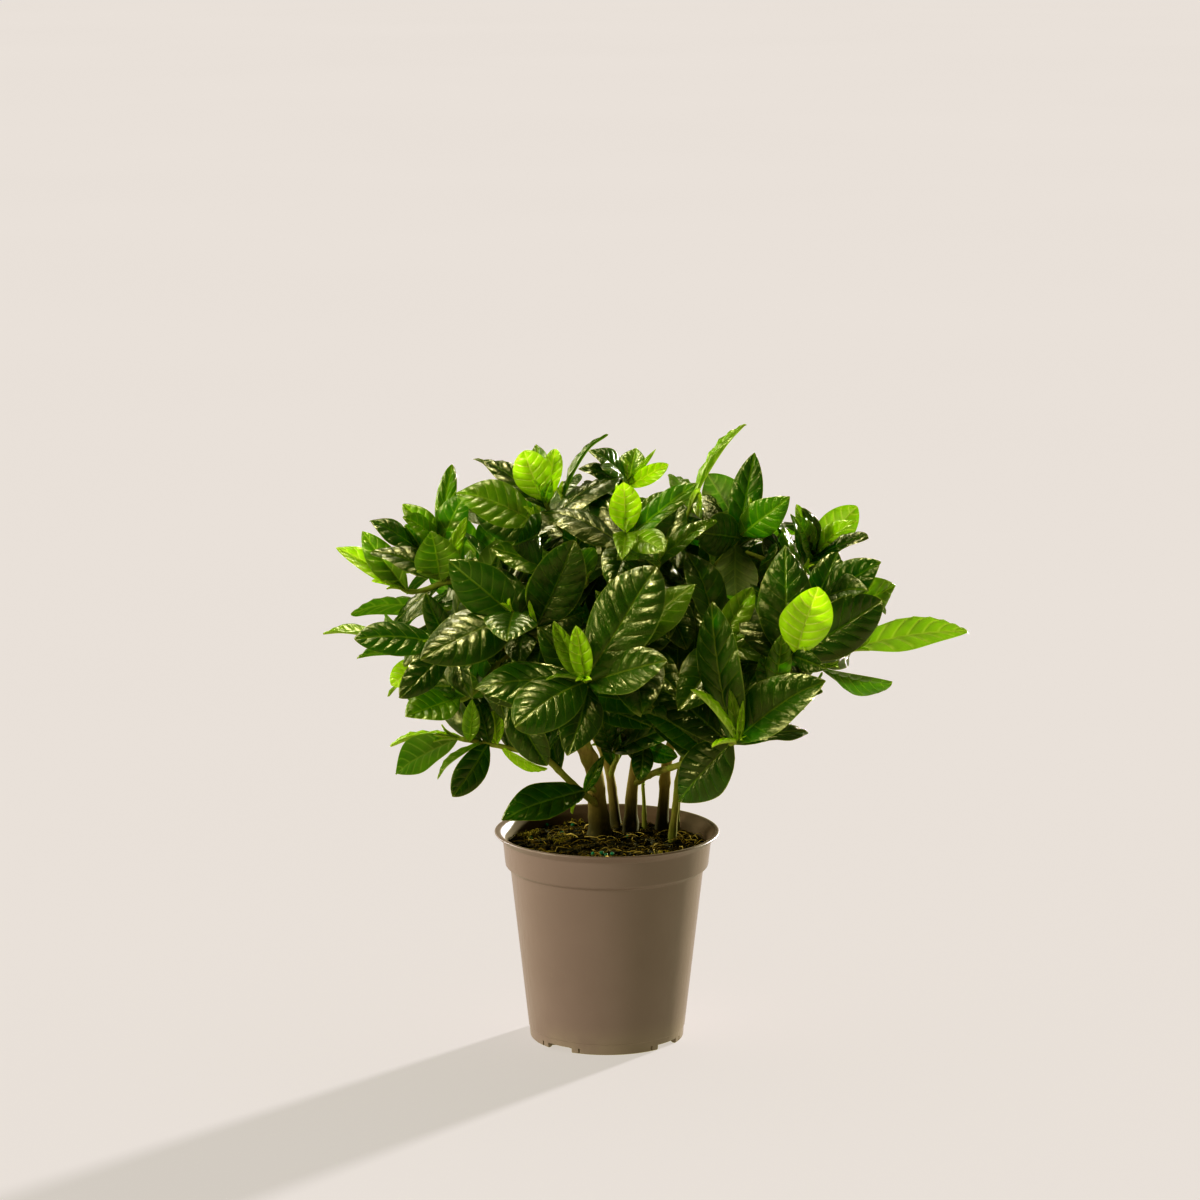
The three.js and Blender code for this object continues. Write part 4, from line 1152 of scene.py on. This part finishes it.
def rounded(points, radius, steps=3):
    """An outline whose inner corners are rounded"""
    points = [np.array(p, float) for p in points]
    made = [points[0]]
    for before, corner, after in zip(points, points[1:], points[2:]):
        a, b = before - corner, after - corner
        cut = min(radius, 0.42 * np.linalg.norm(a), 0.42 * np.linalg.norm(b))
        start, end = corner + unit(a) * cut, corner + unit(b) * cut
        for i in range(steps + 1):
            t = i / steps
            made.append((1 - t) ** 2 * start + 2 * (1 - t) * t * corner + t**2 * end)
    return made + [points[-1]]


def lathed(name, profile, sides):
    """A closed body turned from an outline whose first and last points are centres on the axis"""
    rings = [(r, z) for r, z in profile if r > 1e-6]
    angles = [2 * math.pi * k / sides for k in range(sides)]
    places = [(r * math.cos(a), r * math.sin(a), z) for r, z in rings for a in angles]
    faces = []
    for i in range(len(rings) - 1):
        for k in range(sides):
            n = (k + 1) % sides
            faces.append((i * sides + k, i * sides + n, (i + 1) * sides + n, (i + 1) * sides + k))
    for row, z, flip in ((0, profile[0][1], True), (len(rings) - 1, profile[-1][1], False)):
        places.append((0, 0, z))
        for k in range(sides):
            edge = (row * sides + k, row * sides + (k + 1) % sides)
            faces.append((*(reversed(edge) if flip else edge), len(places) - 1))
    return placed(name, mesh_of(name, places, faces))


def cutter():
    """The slots, notches and drain holes of the pot's foot, as boxes turned round its axis"""
    places, faces = [], []

    def box(angle, r0, r1, width, z0, z1):
        start = len(places)
        c, s = math.cos(math.radians(angle)), math.sin(math.radians(angle))
        for z in (z0, z1):
            for r, w in ((r0, -1), (r1, -1), (r1, 1), (r0, 1)):
                y = w * width / 2
                places.append((r * c - y * s, r * s + y * c, z))
        for face in ((3, 2, 1, 0), (4, 5, 6, 7), (0, 1, 5, 4), (1, 2, 6, 5), (2, 3, 7, 6), (3, 0, 4, 7)):
            faces.append([start + i for i in face])

    below, beyond = -1, POT["rim"]
    for i in range(SLOT["count"]):
        angle = SLOT["first"] + 360 / SLOT["count"] * i
        box(angle, SLOT["inner"], beyond, SLOT["width"], below, SLOT["height"])
        box(angle, DRAIN["inner"], DRAIN["outer"], DRAIN["width"], below, 2 * POT["channel"] + POT["wall"])
        for turn in (-SLOT["notch_turn"], SLOT["notch_turn"]):
            box(angle + turn, POT["base"] - SLOT["notch_depth"], beyond, SLOT["notch_width"], below,
                SLOT["height"])
    return placed("cutter", mesh_of("cutter", places, faces))


def make_pot():
    profile = [(0, 0)] + rounded(outside() + inside()[::-1], POT_ROUNDING) + [(0, POT["wall"])]
    pot = lathed("pot_shell", profile, POT_SIDES)
    cuts = cutter()
    change = pot.modifiers.new("cuts", "BOOLEAN")
    change.operation, change.solver, change.object = "DIFFERENCE", "EXACT", cuts
    bevel = pot.modifiers.new("edges", "BEVEL")
    bevel.width, bevel.segments = POT_BEVEL * MM, 2
    bevel.limit_method, bevel.angle_limit = "ANGLE", math.radians(50)
    graph = bpy.context.evaluated_depsgraph_get()
    mesh = bpy.data.meshes.new_from_object(pot.evaluated_get(graph))
    pot.modifiers.clear()
    pot.data = mesh
    bpy.data.objects.remove(cuts)
    mesh.materials.clear()
    mesh.materials.append(pot_look())
    mesh.shade_smooth()
    mesh.set_sharp_from_angle(angle=math.radians(SHARP["pot"]))
    finished(pot, ["pot"])


# The compost

def soil_rim():
    """The compost's radius where it meets the wall"""
    (r0, z0), (r1, z1) = inside(GAP)[5:7]
    return mix(r0, r1, (SOIL["edge"] - z0) / (z1 - z0))


SOIL_RIM = soil_rim()
SOIL_SIDES = 220
SOIL_RINGS = 64


def soil_top(x, y):
    share = 1 - (x * x + y * y) / (SOIL_RIM * SOIL_RIM)
    lumps = math.sin(0.31 * x + 1) * math.cos(0.27 * y) + 0.6 * math.sin(0.55 * y - 0.4 * x)
    return SOIL["edge"] + SOIL["crown"] * share + SOIL["lump"] * lumps * min(1, 3 * share)


def rough_top(x, y):
    """The crumbled surface of the compost, over its larger lumps"""
    share = max(0.0, 1 - math.hypot(x, y) / SOIL_RIM)
    place = Vector((x, y, 0))
    coarse = noise.fractal(place * 0.16, 0.9, 2.1, 4)
    fine = abs(noise.fractal(place * 0.55 + Vector((9, 4, 2)), 0.8, 2.0, 3))
    return soil_top(x, y) + min(1, 8 * share) * (1.3 * coarse + 0.9 * fine)


def make_soil():
    wall = inside(GAP)
    walls = [(0, wall[0][1])] + wall[:6] + [(SOIL_RIM, SOIL["edge"] - 0.6)]
    top = [(SOIL_RIM * (1 - i / SOIL_RINGS), SOIL["edge"]) for i in range(SOIL_RINGS + 1)]
    soil = lathed("compost", walls + top, SOIL_SIDES)
    for corner in soil.data.vertices:
        x, y, z = corner.co / MM
        if z > SOIL["edge"] - 0.01:
            corner.co.z = rough_top(x, y) * MM
    soil.data.materials.append(soil_look("compost"))
    soil.data.shade_smooth()
    finished(soil, ["soil"])


# Crumbs: how many, their size, the share of them with few faces, and how flat and how rough they are
CRUMBS = {"count": 900, "size": (0.5, 1.5), "coarse": 0.6, "flat": 0.7, "rough": 0.28}
# Strands: their length, their thickness, how far they arch up, how high they lie and how many sides they have
STRANDS = {
    "fibre": ((3, 11), (0.1, 0.24), (0.1, 1.2), 0.2, 3),
    "straw": ((5, 15), (0.18, 0.4), (0.2, 1.8), 0.4, 4),
    "tuft": ((6, 12), (0.25, 0.45), (1, 3), 0.8, 4),
    "moss": ((1.5, 4), 0.22, (0.8, 2.6), 0.3, 3),
}
STRAND_STEPS = 6
FIBRES = {"count": 750, "clear": 4}
STRAW = {"count": 70, "clear": 9}
# A tuft of straw at the right
TUFT = {"count": 11, "x": (52, 43), "y": (-1, 15)}
# Patches of moss: their middle, how many strands and how wide
MOSS = [(-46, 17, 150, 6), (-22, 55, 60, 10), (-27, 4, 60, 8), (-4, -44, 50, 9), (30, -36, 50, 8)]
# Granules of feed: their place and their radius
GRANULES = [(-3, -29, 1.5), (-0.5, -33, 1.4), (-8, -31, 1.3), (3, -31, 1.2), (-35, 45, 1.2), (-20, 40, 1.3),
            (-26, 18, 1.4), (-44, 12, 1.1), (24, -40, 1.2), (12, 8, 1.2)]
# The pieces on the compost and what each is made of
LITTER = {"peat_crumbs": "peat_crumbs", "peat_fibres": "peat_fibres", "moss": "moss_green",
          "feed_granules": "feed_green", "straw": "dry_straw"}


def scattered(count, chance, clear=2.0):
    """Places on the compost, even over its disc"""
    spots = []
    for _ in range(count):
        out, angle = (SOIL_RIM - clear) * math.sqrt(chance.random()), chance.uniform(0, 2 * math.pi)
        spots.append((out * math.cos(angle), out * math.sin(angle)))
    return spots


@functools.cache
def ball(level):
    """Corners and faces of a round body of triangles"""
    made = bmesh.new()
    bmesh.ops.create_icosphere(made, subdivisions=level, radius=1)
    corners = np.array([v.co for v in made.verts])
    faces = [[v.index for v in f.verts] for f in made.faces]
    made.free()
    return corners, faces


def add_crumb(skin, x, y, above, size, level, chance, flat=CRUMBS["flat"], rough=CRUMBS["rough"]):
    corners, faces = ball(level)
    stretch = np.array([chance.uniform(0.7, 1.3), chance.uniform(0.7, 1.3), flat * chance.uniform(0.7, 1.2)])
    bumps = np.array([1 + chance.uniform(-rough, rough) for _ in corners])
    angle = chance.uniform(0, ALL_ROUND)
    c, s = math.cos(angle), math.sin(angle)
    turn = np.array([[c, -s, 0], [s, c, 0], [0, 0, 1]])
    middle = np.array([x, y, rough_top(x, y) + above])
    places = (corners * bumps[:, None] * stretch * size) @ turn.T + middle
    on_map = (corners[:, :2] * 0.5 + 0.5).tolist()
    skin.add(places, [(0, faces, on_map)], np.zeros(3), np.array([0.0, chance.random(), 0.0]))


def add_strand(skin, kind, x, y, chance):
    """A strand that lies on the compost and bends over its lumps"""
    *reaches, above, sides = STRANDS[kind]
    long, thick, lift = [chance.uniform(*reach) if isinstance(reach, tuple) else reach for reach in reaches]
    z = rough_top(x, y) + above
    angle, bend = chance.uniform(0, ALL_ROUND), chance.uniform(-1.4, 1.4)
    steps = STRAND_STEPS
    path = []
    for i in range(steps):
        path.append(np.array([x, y, z + lift * math.sin(math.pi * (i + 0.3) / steps)]))
        x += long / steps * math.cos(angle)
        y += long / steps * math.sin(angle)
        z += chance.uniform(-0.12, 0.12) * long / steps
        angle += bend / steps + chance.uniform(-0.25, 0.25)
    faces, on_map = tube_net(steps, sides)
    radii = [thick * (1 - 0.5 * abs(2 * i / (steps - 1) - 1)) for i in range(steps)]
    tone = np.array([0.0, chance.random(), 0.0])
    skin.add(tube(path, radii, sides), [(0, faces, on_map)], np.zeros(3), tone)


def make_litter():
    """Crumbs, fibres, straw, moss and feed on the compost"""
    chance = random.Random(LITTER_SEED)
    skins = {name: Skin() for name in LITTER}
    for x, y in scattered(CRUMBS["count"], chance):
        size = chance.uniform(*CRUMBS["size"]) ** 1.6
        level = 1 if chance.random() < CRUMBS["coarse"] else 2
        add_crumb(skins["peat_crumbs"], x, y, 0.1, size, level, chance)
    for x, y in scattered(FIBRES["count"], chance, FIBRES["clear"]):
        add_strand(skins["peat_fibres"], "fibre", x, y, chance)
    for x, y in scattered(STRAW["count"], chance, STRAW["clear"]):
        add_strand(skins["straw"], "straw", x, y, chance)
    for _ in range(TUFT["count"]):
        x, y = chance.uniform(*TUFT["x"]), chance.uniform(*TUFT["y"])
        add_strand(skins["straw"], "tuft", x, y, chance)
    for middle_x, middle_y, count, reach in MOSS:
        for _ in range(count):
            x, y = middle_x + chance.gauss(0, reach / 2), middle_y + chance.gauss(0, reach / 2)
            if math.hypot(x, y) < SOIL_RIM - 2:
                add_strand(skins["moss"], "moss", x, y, chance)
    for x, y, size in GRANULES:
        add_crumb(skins["feed_granules"], x, y, 0.7 * size, size, 3, chance, flat=1.0, rough=0.02)
    for name, look in LITTER.items():
        skins[name].piece(name, [soil_look(look)], "compost", [], SHARP["litter"])


# The plants

def make_stems(plant, shoots, bark, chance):
    """A plant's stems, shoots and buds as one piece"""
    skin = Skin()
    for name, (owner, route, radius) in STEMS.items():
        if owner == plant:
            path = CURVES[name].points(STEM_STEPS * (len(route) - 1))
            green = GREEN["stem" if radius[0] > GREEN_TWIG else "twig"]
            add_stem(skin, path, radius, green, chance, buried=route[0][2] < SOIL["edge"])
    for shoot in shoots:
        if shoot["start"] < 1:
            add_stem(skin, shoot["path"], SHOOT_RADIUS, GREEN["shoot"], chance)
        add_bud(skin, shoot["path"][-1], shoot["way"], SHOOT_RADIUS[1])
    skin.piece("stems_" + plant.removeprefix("gardenia_"), [bark], "foliage", [plant], SHARP["stem"])


def make_leaves(shoot, looks, chance):
    """A shoot's leaves as one piece"""
    skin = Skin()
    for leaf in shoot["grown"]:
        leaf_patch(skin, leaf, chance)
    for leaf in bud_leaves(shoot, chance):
        leaf_patch(skin, leaf, chance)
    skin.piece("leaves_" + shoot["name"], looks, "foliage", [shoot["plant"]], SHARP["leaf"])


def make_plants():
    chance = random.Random(PLANT_SEED)
    looks = [leaf_look("upper"), leaf_look("under")]
    bark = bark_look()
    shoots = grown_shoots()
    for shoot in shoots:
        shoot["way"] = unit(shoot["path"][-1] - shoot["path"][-2])
    for plant in sorted({shoot["plant"] for shoot in shoots}):
        make_stems(plant, [shoot for shoot in shoots if shoot["plant"] == plant], bark, chance)
    for shoot in shoots:
        make_leaves(shoot, looks, chance)


# Camera, floor and light

def make_camera():
    lens = bpy.data.cameras.new("camera")
    lens.lens, lens.sensor_width = CAMERA["focal"], CAMERA["sensor"]
    lens.clip_end = 100
    camera = placed("camera", lens)
    camera.location = [v * MM for v in CAMERA["place"]]
    camera.rotation_euler = (math.radians(90 - CAMERA["pitch"]), 0, 0)
    bpy.context.scene.camera = camera


FLOOR_REACH = 40000
FLOOR_TINT = ((0.357, 0.343, 0.335), (0.367, 0.353, 0.345))
FLOOR_GLOW = (0.575, 0.53, 0.495)  # the floor's own share of its brightness, which keeps shades on it soft


def make_floor():
    corners = [(x * FLOOR_REACH, y * FLOOR_REACH, 0) for x, y in ((-1, -1), (1, -1), (1, 1), (-1, 1))]
    mesh = mesh_of("floor", corners, [(0, 1, 2, 3)])
    look = material_look("floor")
    colour = look.blend(look.ramp(look.noise(0.8, 2), 0.3, 0.7), *FLOOR_TINT)
    mesh.materials.append(look.done(look.shader(
        Base_Color=colour, Roughness=0.9, Specular_IOR_Level=0.0, Emission_Color=(*FLOOR_GLOW, 1),
        Emission_Strength=1.0)))
    placed("floor", mesh)


# Lights as wide suns: the way they come from, their strength, their width in degrees, their colour and
# what they light. A panel is a wide soft light that only shows as the gloss of the leaves.
LIGHTS = {
    "key": ((0.64, 0.77, 0.17), 8.4, 4, (1.0, 0.955, 0.86), "all"),
    "top": ((0.0, -0.17, 1.0), 1.4, 20, (1.0, 0.96, 0.82), "plant"),
    "back": ((-0.85, 0.62, 0.38), 3.1, 30, (1.0, 0.96, 0.86), "plant"),
    "fill": ((-0.87, -0.38, 0.32), 3.4, 20, (1.0, 0.97, 0.9), "plant"),
    "top_panel": ((-0.08, -0.16, 1.0), 8.5, 20, (1.0, 0.97, 0.9), "gloss"),
    "sky_panel": ((-0.1, 0.5, 0.87), 4.2, 22, (1.0, 0.98, 0.94), "gloss"),
}
# A bright sky behind and above the plant, and a dark one in front
WORLD = {"brightest": (0.2, 0.6, 0.75), "from": -0.1, "to": 0.95, "dark": 0.08, "bright": 0.3,
         "colour": (1.0, 0.97, 0.93)}
# A warm film: it takes a little blue out of the dark and the middle tones
FILM_BLUE = ((0.012, 0.005), (0.1, 0.06), (0.3, 0.22), (0.5, 0.465), (0.7, 0.7))


def make_lights():
    lit = {use: bpy.data.collections.new("lit_" + use) for use in ("plant", "gloss")}
    for piece in PIECES:
        lit["plant"].objects.link(piece)
        if piece.name.startswith("leaves_"):
            lit["gloss"].objects.link(piece)
    for name, (way, strength, width, colour, use) in LIGHTS.items():
        lamp = bpy.data.lights.new(name, "SUN")
        lamp.energy, lamp.angle, lamp.color = strength, math.radians(width), colour
        holder = placed(name, lamp)
        holder.rotation_euler = Vector(way).to_track_quat("Z", "Y").to_euler()
        if use in lit:
            holder.light_linking.receiver_collection = lit[use]
        if use == "gloss":
            holder.visible_diffuse = holder.visible_transmission = False


def make_world():
    look = Look(bpy.data.worlds.new("studio"), "OutputWorld")
    values = {0: look.node("TexCoord").outputs["Generated"], 1: Vector(WORLD["brightest"]).normalized()}
    towards = look.node("VectorMath", values, operation="DOT_PRODUCT").outputs["Value"]
    strength = look.ramp(towards, WORLD["from"], WORLD["to"], WORLD["dark"], WORLD["bright"])
    sky = look.node("Background", {"Color": (*WORLD["colour"], 1), "Strength": strength}).outputs[0]
    bpy.context.scene.world = look.done(sky)


def set_film():
    view = bpy.context.scene.view_settings
    view.view_transform = "Standard"
    view.use_curve_mapping = True
    blue = view.curve_mapping.curves[2].points
    for place, value in FILM_BLUE:
        blue.new(place, value)
    view.curve_mapping.update()


make_camera()
make_floor()
make_pot()
make_soil()
make_litter()
make_plants()
make_lights()
make_world()
set_film()
